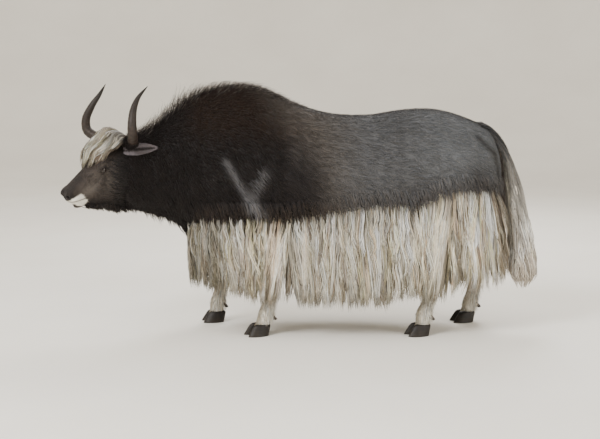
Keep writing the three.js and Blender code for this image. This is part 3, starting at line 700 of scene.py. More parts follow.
# ------------------------------------------------------------------ tufts
def tufts(name, line, width, colour, uv, up, mat, slot, nodes=(), flat=0.5, tip_shade=1.0, root_shade=0.72, tip=None):
    """Solid locks. line is (n, k + 1, 3) in millimetres, the last point being the tip; width (n, k); colour (n, 3);
    uv (n, 2) the root's place on the unwrap; up (n, 3) roughly away from the skin."""
    n, k = line.shape[0], line.shape[1] - 1
    tangent = unit(np.gradient(line, axis=1))
    side = unit(np.cross(tangent, up[:, None, :]))
    lift = unit(np.cross(side, tangent))
    w = width[..., None]
    ring = np.stack([line[:, :k] - side[:, :k] * w, line[:, :k] + side[:, :k] * w, line[:, :k] + lift[:, :k] * w * flat], 2)
    verts = np.concatenate([ring.reshape(n, 3 * k, 3), line[:, k:]], 1)
    m = 3 * k + 1
    base = (np.arange(n) * m)[:, None]
    quads = []
    for j in range(k - 1):
        for c in range(3):
            d = (c + 1) % 3
            quads.append([3 * j + c, 3 * j + d, 3 * (j + 1) + d, 3 * (j + 1) + c])
    tris = [[3 * (k - 1) + c, 3 * (k - 1) + (c + 1) % 3, 3 * k] for c in range(3)] + [[2, 1, 0]]
    pattern = np.array([i for q in quads for i in q] + [i for t in tris for i in t])
    sizes = np.array([4] * len(quads) + [3] * len(tris))
    loops = (base + pattern[None, :]).ravel()
    starts = np.concatenate([[0], np.cumsum(np.tile(sizes, n))[:-1]])
    # the tuft's patch on the unwrap
    local = np.zeros((m, 2))
    for j in range(k):
        for c, off in enumerate((-0.5, 0.5, 0.0)):
            local[3 * j + c] = (off, j / k)
    local[3 * k] = (0.1, 1.0)
    flat_uv = np.clip(uv, 0.004, 0.992)[:, None, :] + 0.003 * (local * np.array([1, 1]) + np.array([0, 0]))[None]
    loop_uv = flat_uv.reshape(-1, 2)[loops]
    along = np.concatenate([np.repeat(np.arange(k) / k, 3), [1.0]])
    shade = root_shade + (tip_shade - root_shade) * along ** 0.7
    tint = colour[:, None, :] if tip is None else mix(colour[:, None, :], tip[:, None, :], np.broadcast_to(along[None] ** 1.6, (n, m)))
    col = tint * shade[None, :, None]
    ob = new_mesh(name, metres(verts.reshape(-1, 3)), loops, starts, loop_uv, {"tint": col.reshape(-1, 3)})
    place(ob, mat, slot, *nodes)
    return ob


def spread_uv(u, v):
    """Root places spread over the whole square."""
    def fit(x):
        lo, hi = np.min(x), np.max(x)
        return 0.01 + 0.975 * (x - lo) / max(hi - lo, 1e-9)
    return np.stack([fit(u), fit(v)], 1)


def varied(col, n, amount=0.16, warm=0.05, rng=RNG):
    k = np.exp(rng.normal(0, amount, (n, 1)))
    w = rng.normal(0, warm, (n, 1))
    return np.clip(col * k * (1 + w * np.array([[1, 0.1, -1]])), 0, 0.92)


FUR = hair_material("yak_fur", spread=0.15)
LONG = hair_material("yak_long_hair", roughness=0.6, sheen=0.08, fleck=180.0, spread=0.22, specular=0.26)
FINE = hair_material("yak_face_hair", roughness=0.66, sheen=0.05, fleck=500.0, spread=0.22, specular=0.2)


def body_coat():
    pale = through(PALE_LINE, 1)
    names = ("coat_neck", "coat_shoulders", "coat_barrel", "coat_rump")
    # x from, to, how many, length, half width, rings, how far down the lie turns
    for nm, (x0, x1, count, length, width, k, turn, seed) in zip(names, (
            (-950, -560, 10400, 70, 3.4, 2, 60, 11), (-585, -120, 12400, 66, 3.3, 2, 46, 12),
            (-150, 520, 11400, 48, 3.2, 2, 30, 13), (500, 1104, 11400, 46, 3.1, 2, 28, 14))):
        r = np.random.default_rng(seed)
        x = r.uniform(x0, x1, count)
        a = r.uniform(-math.pi, math.pi, count)
        p = body_at(x, a, 0)
        keep = (p[:, 2] > np.where(x > -600, pale(x) + 12, -1e9))
        q = into(FACE, p)
        keep &= ~((q[:, 0] > -30) & (q[:, 0] < 300) & (np.abs(q[:, 1]) < 96) & (q[:, 2] > -260) & (q[:, 2] < 20))
        x, a, p = x[keep], a[keep], p[keep]
        n = len(x)
        depth = coat_depth(x)
        side = np.abs(np.sin(a))
        way = np.radians(turn * side ** 0.8 + r.normal(0, 6, n) + 9 * noise_low(p))
        way = np.where(np.abs(a) > 2.2, np.radians(18), way)
        ln = length * np.exp(r.normal(0, 0.2, n))
        tt = np.linspace(0, 1, k + 1)
        dx = np.linalg.norm(body_at(x + 1, a) - body_at(x, a), axis=1)
        da = np.linalg.norm(body_at(x, a + 0.01) - body_at(x, a), axis=1) * 100
        sg = np.where(a >= 0, 1.0, -1.0)
        wob = r.normal(0, 0.1, (n, 1))
        xs = x[:, None] + (ln * np.cos(way) / dx)[:, None] * (tt + wob * tt ** 2 * 0.6)
        as_ = a[:, None] + (sg * ln * np.sin(way) / np.maximum(da, 30))[:, None] * (tt - wob * tt ** 2)
        xs = np.minimum(xs, BODY_REAR - 6)
        # roots under the skin, tips near the outline, a few proud of it
        shag = 1 - step(x, -260, 80)
        tip = r.uniform(1.0, 6 + 5 * shag, n) - (2 + 5 * shag) * (r.uniform(size=n) < 0.1)
        dep = (depth + 2.5)[:, None] * (1 - tt ** 0.6) + tip[:, None] * tt ** 0.6
        line = body_at(xs, as_, dep)
        _, nor, _, _ = body_frame(x, a, 0)
        w = width * np.exp(r.normal(0, 0.2, n))[:, None] * np.linspace(1, 0.45, k)[None]
        col = varied(body_colour(line[:, -1] * 0.5 + line[:, 0] * 0.5), n, 0.1 if nm in names[:2] else 0.07, 0.025, rng=r)
        tufts(nm, line, w, col, spread_uv(x, np.where(a < 0, a + 2 * math.pi, a)), nor, FUR,
              "dark_coat" if nm in names[:2] else "slate_coat", flat=0.4, root_shade=0.85)


def mane():
    """Bristles that stand up along the crest of neck and hump, thinning out down the back."""
    r = np.random.default_rng(71)
    n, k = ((2000, 4))
    x = -965 + 1000 * r.uniform(size=n) ** 1.15
    a = r.normal(0, 0.2, n)
    clump = Waves(72, 34, dims=1)(x[:, None])
    _, nor, ex, _ = body_frame(x, a, 14)
    ln = np.interp(x, [-965, -880, -700, -520, -350, -150, 40], [26, 44, 60, 48, 34, 24, 18]) * np.exp(r.normal(0, 0.24, n)) * (1 + 0.3 * clump)
    d = unit(nor + ex * (0.75 + 0.3 * r.normal(size=(n, 1)) + 0.25 * clump[:, None]) + 0.12 * r.normal(size=(n, 3)))
    tt = np.linspace(0, 1, k + 1)
    line = body_at(x, a, 16)[:, None] + d[:, None] * (ln[:, None] * tt)[..., None] + ex[:, None] * (0.3 * ln[:, None] * tt ** 2)[..., None]
    kink = (0.13 * ln * np.exp(r.normal(0, 0.4, n)))[:, None] * np.sin(r.uniform(0, 6.28, (n, 1)) + tt * r.uniform(4, 9, (n, 1))) * tt
    line = line + unit(np.cross(nor, d) * r.uniform(0.1, 0.6, (n, 1)) + ex * r.uniform(0.4, 1, (n, 1)))[:, None] * kink[..., None]
    line[..., 2] -= 0.8 * np.maximum(line[..., 2] - 1374, 0)
    w = 1.9 * np.exp(r.normal(0, 0.2, n))[:, None] * np.linspace(1, 0.45, k)[None]
    col = varied(np.broadcast_to(C["dark"] * 1.3, (n, 3)), n, 0.15, rng=r)
    tip = varied(np.broadcast_to(tone(122, 115, 110), (n, 3)), n, 0.3, rng=r)
    tufts("coat_mane", line, w, col, spread_uv(x, a), nor, FUR, "dark_coat", flat=0.7, tip=tip)


# ------------------------------------------------------------------ the long fringe
def plan_line(points):
    """Points, and outward directions, evenly along a plan line with its length."""
    p = np.array(points, float)
    d = np.r_[0, np.cumsum(np.linalg.norm(np.diff(p, axis=0), axis=1))]
    table = np.c_[d, p]
    fx, fy = through(table.tolist(), 1), through(table.tolist(), 2)

    def at(s):
        e = 4.0
        t = unit(np.stack([fx(s + e) - fx(s - e), fy(s + e) - fy(s - e)], -1))
        return np.stack([fx(s), fy(s)], -1), np.stack([-t[..., 1], t[..., 0]], -1)

    return at, d[-1]


FULL = [[-606, 0], [-606, 60], [-603, 112]] + CURTAIN  # from the middle of the chest round to the tail
LOCK_TONES = np.array([C["white"], C["cream"], C["straw"], C["tan"], C["grey_brown"], C["umber"]])


def wall_at(x, z, depth=0.0):
    """How far the flank stands from the middle at a height."""
    mid = b_low(x) + WAIST * (b_top(x) - b_low(x))
    c = np.clip((mid - z) / np.maximum(mid - b_low(x), 1), 0, 0.97)
    return np.maximum(b_half(x) * body_dome(x) - depth, 20) * (1 - c ** 2.25) ** (1 / 2.25)


def fringe(side, name, nodes, seed, many):
    """Wavy ropes of long hair in several layers. Each rope gathers its strands, splits into points, and ends at its own height."""
    r = np.random.default_rng(seed)
    at, total = plan_line(FULL)
    pale, hem = through(PALE_LINE, 1), through(HEM, 1)
    patches, folds, leans = Waves(seed + 40, 150, dims=1), Waves(seed + 41, 120, dims=1), Waves(seed + 42, 260, dims=1)
    # name, locks, strands in each, inwards, lock half width, strand half width, rise of the roots, rings
    layers = (("under", 84, 11, 36, 30, 8.0, 0.0, 5), ("under", 124, 12, 22, 24, 4.4, 0.2, 6),
              ("", 178, 14, 10, 19, 2.7, 0.6, 7), ("", 142, 13, 0, 15, 2.3, 1.0, 9), ("", 116, 8, -5, 11, 2.0, 1.0, 9))
    groups = {}
    for li, (tag, locks, strands, inset, spread, width, rise, k) in enumerate(layers):
        locks = int(locks * many)
        width = width * (1 if many == 1 else 1.25)
        s = (np.arange(locks) + r.uniform(0.05, 0.95, locks)) / locks * total
        n = locks * strands
        rep = lambda v: np.repeat(v, strands)
        s_l = rep(s)
        off_s = r.normal(0, 0.6, n)
        off_n = r.normal(0, 0.6, n)
        point = r.integers(0, 3, n)  # which point of the lock a strand ends in
        gap = r.uniform(0.2, 1.0, locks)
        tip_s = (point - 1) * rep(gap) * 0.55
        p0, _ = at(s_l)
        x0 = p0[:, 0]
        z_top = pale(x0) + 8 + 16 * rise + rep(r.normal(0, 9, locks)) + r.normal(0, 6, n) - 22 * (li < 2)
        short = rep(np.minimum(r.exponential(24, locks), 100)) + r.exponential(14, n) + rep(r.uniform(0, 26, (locks, 3)).T[0]) * (point == 0) + 14 * (point == 2)
        z_hem = hem(x0) - 10 + short + (18 if li == 0 else 0)
        if li == 3:
            z_hem = z_hem + rep(r.uniform(0, 1, locks) ** 1.6 * 190)
        if li == 4:
            z_hem = z_hem + rep(r.uniform(40, 300, locks))
        part = np.zeros(n)
        if side < 0:
            # the hair parts in front of the far hind leg
            part = np.exp(-((x0 - 876) / 44) ** 2)
            z_hem = z_hem + part * (150 if li > 1 else 95) * (1 - 0.4 * np.abs(r.normal(0, 0.5, n)).clip(0, 1))
        tt = np.linspace(0, 1, k + 1)
        z = z_top[:, None] - (z_top - z_hem)[:, None] * (tt ** 1.05)[None]
        c = np.interp(tt, [0, 0.3, 0.75, 1], [1.0, 0.78, 0.45, 0.14])
        c2 = np.interp(tt, [0, 0.45, 1], [0.0, 0.25, 1.0])
        pa, pf = rep(r.uniform(0, 6.28, locks)), rep(r.uniform(0.9, 1.7 if k < 9 else 2.5, locks))
        amp = rep(np.exp(r.normal(2.2 if k < 9 else 2.1, 0.45, locks)))  # about 8 mm
        pb, fb = r.uniform(0, 6.28, n), r.uniform(1.2, 2.0 if k < 9 else 3.0, n)
        swell = np.interp(tt, [0, 0.2, 1], [0.0, 0.5, 1.25])
        lean = 20 * leans(s_l[:, None]) + rep(r.normal(0, 17, locks)) + 6 * off_s
        lean = lean + part * np.sign(x0 - 876) * 26
        if side < 0:
            # in front of the legs the hair lies on the limb and narrows with it; behind the fore leg it falls slantwise
            fore, hind = 1 - step(np.abs(x0 + 126), 64, 84), 1 - step(np.abs(x0 - 761), 46, 66)
            lean = lean * (1 - 0.7 * np.maximum(fore, hind)) - fore * (44 + 0.5 * (x0 + 126)) - hind * (62 + 0.5 * (x0 - 761))
            lean = lean + 26 * np.exp(-((x0 + 16) / 34) ** 2)
            amp = amp * (1 - 0.6 * np.maximum(fore, hind))
        lean = lean + 44 * step(x0, 985, 1086)
        ss = (s_l[:, None] + spread * (off_s[:, None] * c + tip_s[:, None] * c2) + amp[:, None] * swell * np.sin(pa[:, None] + pf[:, None] * 6.28 * tt)
              + 2.6 * swell * np.sin(pb[:, None] + fb[:, None] * 6.28 * tt) + lean[:, None] * tt ** 1.4)
        ss = np.clip(ss, 0, total)
        p, out = at(ss)
        fork = np.zeros_like(z)
        for (lx, w_, h) in ((-126, 62, 20), (770, 58, 18)):
            fork += h * np.exp(-((p[..., 0] - lx) / w_) ** 2) * step(z, 230, 420)
        plan = -inset + 8 * off_n[:, None] * c + rep(r.normal(0, 4.5, locks))[:, None] * tt + 9 * folds(ss[..., None] + 40 * side) * step(tt, 0.15, 0.5)
        plan = plan + 0.8 * amp[:, None] * swell * np.cos(pa[:, None] * 1.3 + pf[:, None] * 5.2 * tt)
        plan = plan + fork * ((1 if li > 0 else 0.6) if side < 0 else (0.4 if li else 0))
        plan = np.minimum(plan, 12)
        # the root lies on the skin, and the lock swings out to the plan line on its way down
        xb = p[..., 0]
        xy = p + out * plan[..., None]
        hug = 1 - step(tt, 0.03, 0.34)
        y_wall = np.minimum(np.abs(xy[..., 1]), np.maximum(wall_at(xb, z, coat_depth(xb) + 3 - 8 * tt), 60))
        side_on = np.abs(out[..., 1]) ** 2
        yy = xy[..., 1] * (1 - hug * side_on) + y_wall * hug * side_on
        xx = xy[..., 0] + 22 * hug * (1 - side_on) * np.sign(-out[..., 0] + 1e-9) + (40 * step(x0, 930, 1090) + 16 * step(x0, 1020, 1070))[:, None] * (tt ** 1.2)[None]
        line = np.stack([xx, yy * side, z], -1)
        w = width * np.exp(r.normal(0, 0.26, n))[:, None] * np.interp(np.arange(k) / k, [0, 0.35, 0.7, 0.86], [0.8, 1.0, 0.7, 0.4])[None]
        # colours go rope by rope and strand by strand, in broad uneven bands
        band = patches(s[:, None])
        weight = np.stack([0.34 + 0.16 * band, 0.27 + 0 * band, 0.12 - 0.05 * band, 0.12 - 0.06 * band, 0.12 - 0.07 * band, 0.08 - 0.03 * band], 1)
        weight = weight * np.array(([0.15, 0.5, 1.0, 1.0, 2.6, 3.4], [0.5, 0.9, 1.2, 1.2, 1.8, 1.8], [1] * 6, [1.1, 1, 1, 0.9, 0.8, 0.7], [1.6, 1.2, 0.7, 0.8, 0.5, 0.5])[li])
        weight = np.clip(weight, 0.01, None)
        weight /= weight.sum(1, keepdims=True)
        cum = np.cumsum(weight, 1)
        pick = (r.uniform(size=(locks, 1)) > cum).sum(1).clip(0, 5)
        own = (r.uniform(size=(n, 1)) > np.repeat(cum, strands, 0)).sum(1).clip(0, 5)
        col = mix(LOCK_TONES[rep(pick)], LOCK_TONES[own], np.where(r.uniform(size=n) < 0.4, 0.75, 0.12))
        if side < 0 and li > 0:  # the legs show as warmer columns; the olive edge before the fore leg and the brown ones behind the legs and in the part of the hair are painted shade
            for (lx, w_, key, k_, g) in ((-122, 46, "fawn", 0.9, 0.8), (-198, 17, "straw", 0.62, 0.8), (-20, 22, "white", 1.05, 0.7), (24, 17, "umber", 0.8, 0.8),
                                         (761, 36, "cream", 1.0, 0.75), (812, 12, "umber", 0.9, 0.5), (884, 40, "umber", 0.85, 0.6)):
                col = mix(col, np.broadcast_to(C[key] * k_, col.shape), g * np.exp(-((x0 - lx) / w_) ** 2) * r.uniform(0.5, 1.15, n).clip(0, 1))
        # painted shade: the under layers are darkened; the outer layers are made a little lighter
        col = col * (0.5, 0.66, 0.98, 1.1, 1.2)[li]
        # painted shade: the fringe of the chest, in shadow, is darkened; behind the part of the hair the fringe is made
        # paler
        col = col * (1 - 0.6 * (1 - step(x0, -450, -290)) + 0.8 * step(x0, 870, 960))[:, None]
        # painted shade: the rear end of the fringe turns dark umber under the buttock
        col = mix(col, np.broadcast_to(C["umber"] * 0.6, col.shape), 0.85 * step(x0 + 10 * off_s, 1022, 1056))
        col = col * np.exp(rep(r.normal(0, 0.27, locks)))[:, None]
        col = varied(col, n, 0.15, 0.05, rng=r)
        tip = mix(col, np.broadcast_to(C["straw"] * 0.72, col.shape), 0.6 * r.uniform(size=n))
        up = np.stack([out[:, 0, 0], out[:, 0, 1] * side, 0 * x0 + 0.1], 1)
        half = (s_l > total * 0.5) & (tag == "")
        for part_name, sel in ((tag or "front", ~half), (tag or "rear", half)):
            if sel.any():
                groups.setdefault((part_name, k), []).append((line[sel], w[sel], col[sel], tip[sel], ss[sel, 0], z[sel, 0] + 14 * off_n[sel] + 120 * li, up[sel]))
    first = True
    for (part_name, k), g in groups.items():
        line, w, col, tip, u, v, up = (np.concatenate(x) for x in zip(*g))
        suffix = part_name if part_name != "under" else "under%d" % k
        tufts(name + "_" + suffix, line, w, col, spread_uv(u, v), up, LONG, "fringe_hair", nodes if first else (), flat=0.6, root_shade=0.5, tip=tip)
        first = False


def dark_overlap():
    """Dark strands of the flank that fall raggedly over the top of the pale fringe."""
    r = np.random.default_rng(77)
    at, total = plan_line(FULL)
    pale = through(PALE_LINE, 1)
    n = 3500
    k = 3
    s = r.uniform(0, total, n)
    sd = np.where(r.uniform(size=n) < 0.55, -1.0, 1.0)
    p, out = at(s)
    groups = Waves(78, 52, dims=1)(s[:, None] + sd[:, None] * 400)
    z0 = pale(p[:, 0]) + r.uniform(34, 100, n)
    ln = np.clip(60 + 24 * groups + r.normal(0, 15, n), 20, 130)
    tt = np.linspace(0, 1, k + 1)
    z = z0[:, None] - ln[:, None] * tt
    x = p[:, 0][:, None] + 20 * tt + r.normal(0, 6, (n, 1)) * tt
    side_on = np.abs(out[:, 1])[:, None]
    lift = r.uniform(-3, 3, (n, 1))
    lay = np.maximum(wall_at(x, z) - 14 + 18 * tt ** 0.7, np.minimum(np.abs(p[:, 1])[:, None], wall_at(x, z0[:, None]) + 6) - 12 + 14 * tt) + lift
    y = lay * side_on + np.abs(p[:, 1])[:, None] * (1 - side_on)
    line = np.stack([x + out[:, :1] * (4 + 6 * tt) * (1 - side_on), y * sd[:, None], z], -1)
    w = 3.2 * np.exp(r.normal(0, 0.2, n))[:, None] * np.linspace(1, 0.4, k)[None]
    base = body_colour(line[:, 0])
    col = varied(base, n, 0.12, 0.03, rng=r)
    tip = mix(col, np.broadcast_to(C["umber"] * 0.7, col.shape), 0.35 * r.uniform(size=n))
    up = np.stack([out[:, 0], out[:, 1] * sd, 0.2 + 0 * s], 1)
    tufts("coat_flank_edge", line, w, col, spread_uv(s, sd + 0.6 * r.uniform(-1, 1, n)), up, FUR, "slate_coat", flat=0.4, root_shade=0.9, tip=tip)


# ------------------------------------------------------------------ tail
def tail_hair():
    r = np.random.default_rng(31)
    k = 8
    locks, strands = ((170, 12))
    n = locks * strands
    rep = lambda v: np.repeat(v, strands)
    start = rep(r.uniform(0.0, 1.0, locks) ** 0.85)
    z0 = 1112 - 640 * start + r.normal(0, 14, n)
    ln = rep(r.uniform(240, 500, locks)) * (1 - 0.2 * start) + r.normal(0, 22, n)
    z1 = np.maximum(z0 - ln, 222 + np.abs(rep(r.normal(0, 34, locks))) + np.abs(r.normal(0, 14, n)))
    ang = rep(r.uniform(-math.pi, math.pi, locks))
    tt = np.linspace(0, 1, k + 1)
    z = z0[:, None] + (z1 - z0)[:, None] * tt
    c = np.interp(tt, [0, 0.4, 1], [1.0, 0.7, 0.16])
    spread = r.normal(0, 0.27, n)
    pa, pf = rep(r.uniform(0, 6.28, locks)), rep(r.uniform(1.1, 2.3, locks))
    wave = np.interp(tt, [0, 0.25, 1], [0, 0.7, 1.3])
    amp = rep(np.exp(r.normal(1.75, 0.4, locks)))[:, None]
    own_p = r.uniform(0, 6.28, n)[:, None]
    aa = ang[:, None] + spread[:, None] * c + (amp / 62) * wave * np.sin(pa[:, None] + pf[:, None] * 6.28 * tt) + 0.03 * wave * np.sin(own_p + 11 * tt)
    rad = np.interp(tt, [0, 0.14, 0.4, 0.8, 1], [0.5, 0.86, 0.98, 1.0, 0.92])[None] * rep(r.uniform(0.74, 1.0, locks))[:, None]
    rad = rad * (1 + r.normal(0, 0.05, (n, 1)) * tt) + (amp / 95) * wave * np.cos(pa[:, None] * 1.4 + pf[:, None] * 5.5 * tt)
    rad = np.minimum(rad, 1.14)
    end = (0.82 + 0.18 * step(z, 180, 330)) * (1 + 0.16 * np.exp(-((z - 320) / 80) ** 2))
    x = t_x(z) + t_a(z) * rad * np.cos(aa) * end
    y = t_y(z) + t_b(z) * rad * np.sin(aa) * end * (1 - 0.5 * step(z, 1040, 1125))
    line = np.stack([x, y, z], -1)
    w = 2.7 * np.exp(r.normal(0, 0.25, n))[:, None] * np.interp(np.arange(k) / k, [0, 0.5, 0.88], [0.8, 1, 0.4])[None]
    zz = z.mean(1)
    front = np.cos(ang) < -0.5
    base = mix(np.broadcast_to(tone(104, 101, 98), (n, 3)), tone(240, 236, 226), step(-z0, -1050, -860))
    base = mix(base, tone(192, 178, 160), step(-zz, -480, -280))
    pick = rep(r.uniform(size=locks))
    base = mix(base, C["umber"] * 0.6, (pick < 0.13) * 0.75)
    base = mix(base, C["grey_brown"], ((pick > 0.13) & (pick < 0.28)) * 0.6)
    base = mix(base, C["white"], ((pick > 0.66) & (zz < 820)) * 0.8)
    curl = ((pick > 0.55) & (pick < 0.62)) * step(-zz, -620, -560) * (1 - step(-zz, -460, -400)) * 0.5
    base = mix(base, tone(174, 138, 112), curl)
    # painted shade: the front of the brush, facing the buttock, is darker at mid height
    base = mix(base, tone(96, 88, 80), (np.cos(ang) < -0.8) * 0.7 * step(zz, 380, 600))
    base = base * np.exp(rep(r.normal(0, 0.16, locks)))[:, None]
    up = np.stack([np.cos(ang), np.sin(ang), 0.1 + 0 * ang], 1)
    base = mix(base, tone(116, 112, 108), 0.92 * step(z0, 870, 990))
    base = mix(base, tone(86, 84, 83), 0.9 * step(z0, 1000, 1080))
    base = varied(base, n, 0.15, 0.04, rng=r)
    end_col = mix(mix(base, tone(214, 208, 197), 0.8 * step(-z1, -820, -620)), tone(176, 158, 137), 0.75 * step(-z1, -440, -260))
    tufts("coat_tail", line, w, base, spread_uv(ang + 0.8 * spread, z0), up, LONG, "tail_hair", ("tail_brush",), flat=0.6, root_shade=0.85, tip=end_col)
    # strands of the dock and the buttock that fall between thigh and brush; their dark middle band is painted shade in
    # the gap
    m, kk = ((620, 6))
    tt = np.linspace(0, 1, kk + 1)
    z0 = r.uniform(540, 1090, m)
    z = z0[:, None] - r.uniform(150, 340, m)[:, None] * tt
    sd = r.choice([-1.0, 1.0], m, p=[0.62, 0.38])
    ph = r.uniform(0, 6.28, (m, 1))
    back = np.interp(z, [330, 560, 760, 930, 1060, 1120], [1128, 1128, 1124, 1114, 1092, 1060])
    x = back + r.uniform(-40, 6, (m, 1)) + 6 * np.sin(ph + 7 * tt) - 20 * step(-z, -680, -500)
    y = sd[:, None] * (np.interp(z0, [700, 1090], [62, 30])[:, None] * r.uniform(0.25, 1.15, (m, 1)) + 5 * np.sin(ph * 1.7 + 6 * tt)) - 8
    line = np.stack([x, y, z], -1)
    w = 3.0 * np.exp(r.normal(0, 0.2, m))[:, None] * np.interp(np.arange(kk) / kk, [0, 0.4, 0.85], [0.7, 1, 0.4])[None]
    up = unit(np.stack([0.5 + 0 * z0, sd, 0 * z0], 1))
    col = mix(mix(np.broadcast_to(tone(120, 108, 96), (m, 3)), tone(60, 52, 47), step(z0, 720, 860)), tone(98, 94, 91), step(z0, 960, 1030))
    col = varied(col, m, 0.2, rng=r)
    tufts("coat_dock", line, w, col, spread_uv(y[:, 0], z0), up, FUR, "tail_hair", flat=0.5, root_shade=0.8, tip=mix(col, np.broadcast_to(C["grey_brown"] * 0.7, col.shape), 0.5 * r.uniform(size=m)))
    # short hair all round the dock, and hair that runs over its root from the rump
    m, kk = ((900, 3))
    tt = np.linspace(0, 1, kk + 1)
    z0 = r.uniform(800, 1122, m)
    z = z0[:, None] - r.uniform(50, 84, m)[:, None] * tt
    ang = r.uniform(-math.pi, math.pi, m)[:, None] + r.normal(0, 0.1, (m, 1)) * tt
    rad = np.interp(tt, [0, 0.4, 1], [0.62, 0.86, 0.96])[None] * r.uniform(0.94, 1.05, (m, 1))
    line = np.stack([t_x(z) + t_a(z) * rad * np.cos(ang), t_y(z) + t_b(z) * rad * np.sin(ang) * (1 - 0.6 * step(z, 1030, 1125)), z], -1)
    m2 = 420
    x0, y0 = r.uniform(968, 1062, m2), r.normal(0, 20, m2)
    z1 = 1104 - r.uniform(0, 120, m2)
    p0 = np.stack([x0, y0, b_top(x0) - 8], 1)
    p1 = np.stack([t_x(z1) + 0.98 * t_a(z1), y0 * 1.1, z1], 1)
    over = p0[:, None] + (p1 - p0)[:, None] * tt[None, :, None]
    over[..., 2] += 20 * np.sin(math.pi * tt ** 0.8)
    line = np.concatenate([line, over])
    up = np.concatenate([np.stack([np.cos(ang[:, 0]), np.sin(ang[:, 0]), 0.2 + 0 * z0], 1), np.broadcast_to(np.array([0.6, 0.0, 0.8]), (m2, 3))])
    z0 = np.concatenate([z0, 1122 + 0.2 * x0])
    m = len(line)
    w = 3.3 * np.exp(r.normal(0, 0.2, m))[:, None] * np.linspace(1, 0.4, kk)[None]
    col = varied(mix(np.broadcast_to(tone(132, 128, 122), (m, 3)), tone(80, 78, 78), step(z0, 900, 1070)), m, 0.13, rng=r)
    tufts("coat_dock_fur", line, w, col, spread_uv(np.concatenate([ang[:, 0], y0 * 0.05]), z0), unit(up), FUR, "tail_hair", flat=0.45, root_shade=0.85)
    # an inner core so that the brush is never see-through; its dark grey-brown is painted shade inside the brush
    m, k = 250, 6
    tt = np.linspace(0, 1, k + 1)
    z0 = r.uniform(560, 1060, m)
    z = z0[:, None] - (z0 - np.maximum(z0 - r.uniform(240, 420, m), r.uniform(230, 330, m)))[:, None] * tt
    ang = r.uniform(-math.pi, math.pi, m)
    rad = np.interp(tt, [0, 0.3, 1], [0.3, 0.66, 0.6])[None] * r.uniform(0.5, 1, (m, 1))
    line = np.stack([t_x(z) + t_a(z) * rad * np.cos(ang)[:, None], t_y(z) + t_b(z) * rad * np.sin(ang)[:, None], z], -1)
    w = np.full((m, k), 12.0) * np.interp(np.arange(k) / k, [0, 0.5, 1], [0.7, 1, 0.5])[None]
    up = np.stack([np.cos(ang), np.sin(ang), 0 * ang], 1)
    tufts("coat_tail_core", line, w, varied(np.broadcast_to(C["grey_brown"] * 0.6, (m, 3)), m, 0.12, rng=r), spread_uv(ang, z0), up, LONG, "tail_hair", flat=0.7)


def smooth_line(points, m):
    """A centripetal curve through points, at m even steps."""
    p = np.array(points, float)
    ext = np.vstack([2 * p[0] - p[1], p, 2 * p[-1] - p[-2]])
    out = []
    for i in range(1, len(ext) - 2):
        p0, p1, p2, p3 = ext[i - 1:i + 3]
        t0 = 0.0
        t1 = t0 + np.linalg.norm(p1 - p0) ** 0.5
        t2 = t1 + np.linalg.norm(p2 - p1) ** 0.5
        t3 = t2 + np.linalg.norm(p3 - p2) ** 0.5
        t = np.linspace(t1, t2, 24, endpoint=False)[:, None]
        a1 = (t1 - t) / (t1 - t0) * p0 + (t - t0) / (t1 - t0) * p1
        a2 = (t2 - t) / (t2 - t1) * p1 + (t - t1) / (t2 - t1) * p2
        a3 = (t3 - t) / (t3 - t2) * p2 + (t - t2) / (t3 - t2) * p3
        b1 = (t2 - t) / (t2 - t0) * a1 + (t - t0) / (t2 - t0) * a2
        b2 = (t3 - t) / (t3 - t1) * a2 + (t - t1) / (t3 - t1) * a3
        out.append((t2 - t) / (t2 - t1) * b1 + (t - t1) / (t2 - t1) * b2)
    out.append(p[-1:])
    q = np.vstack(out)
    s = np.r_[0, np.cumsum(np.linalg.norm(np.diff(q, axis=0), axis=1))]
    at = np.linspace(0, s[-1], m)
    return np.stack([np.interp(at, s, q[:, k]) for k in range(3)], 1)


# ------------------------------------------------------------------ forelock
fl_rise, fl_half = (through(FORELOCK, k) for k in (1, 2))


def mop_at(a, ang, k):
    base = h_brow(np.clip(a, -60, 470)) - 6 - 22 * np.clip(-a / 60, 0, 1.4)
    return np.stack([a + 0 * ang, k * fl_half(a) * np.sin(ang), base + k * fl_rise(a) * np.cos(ang)], -1)


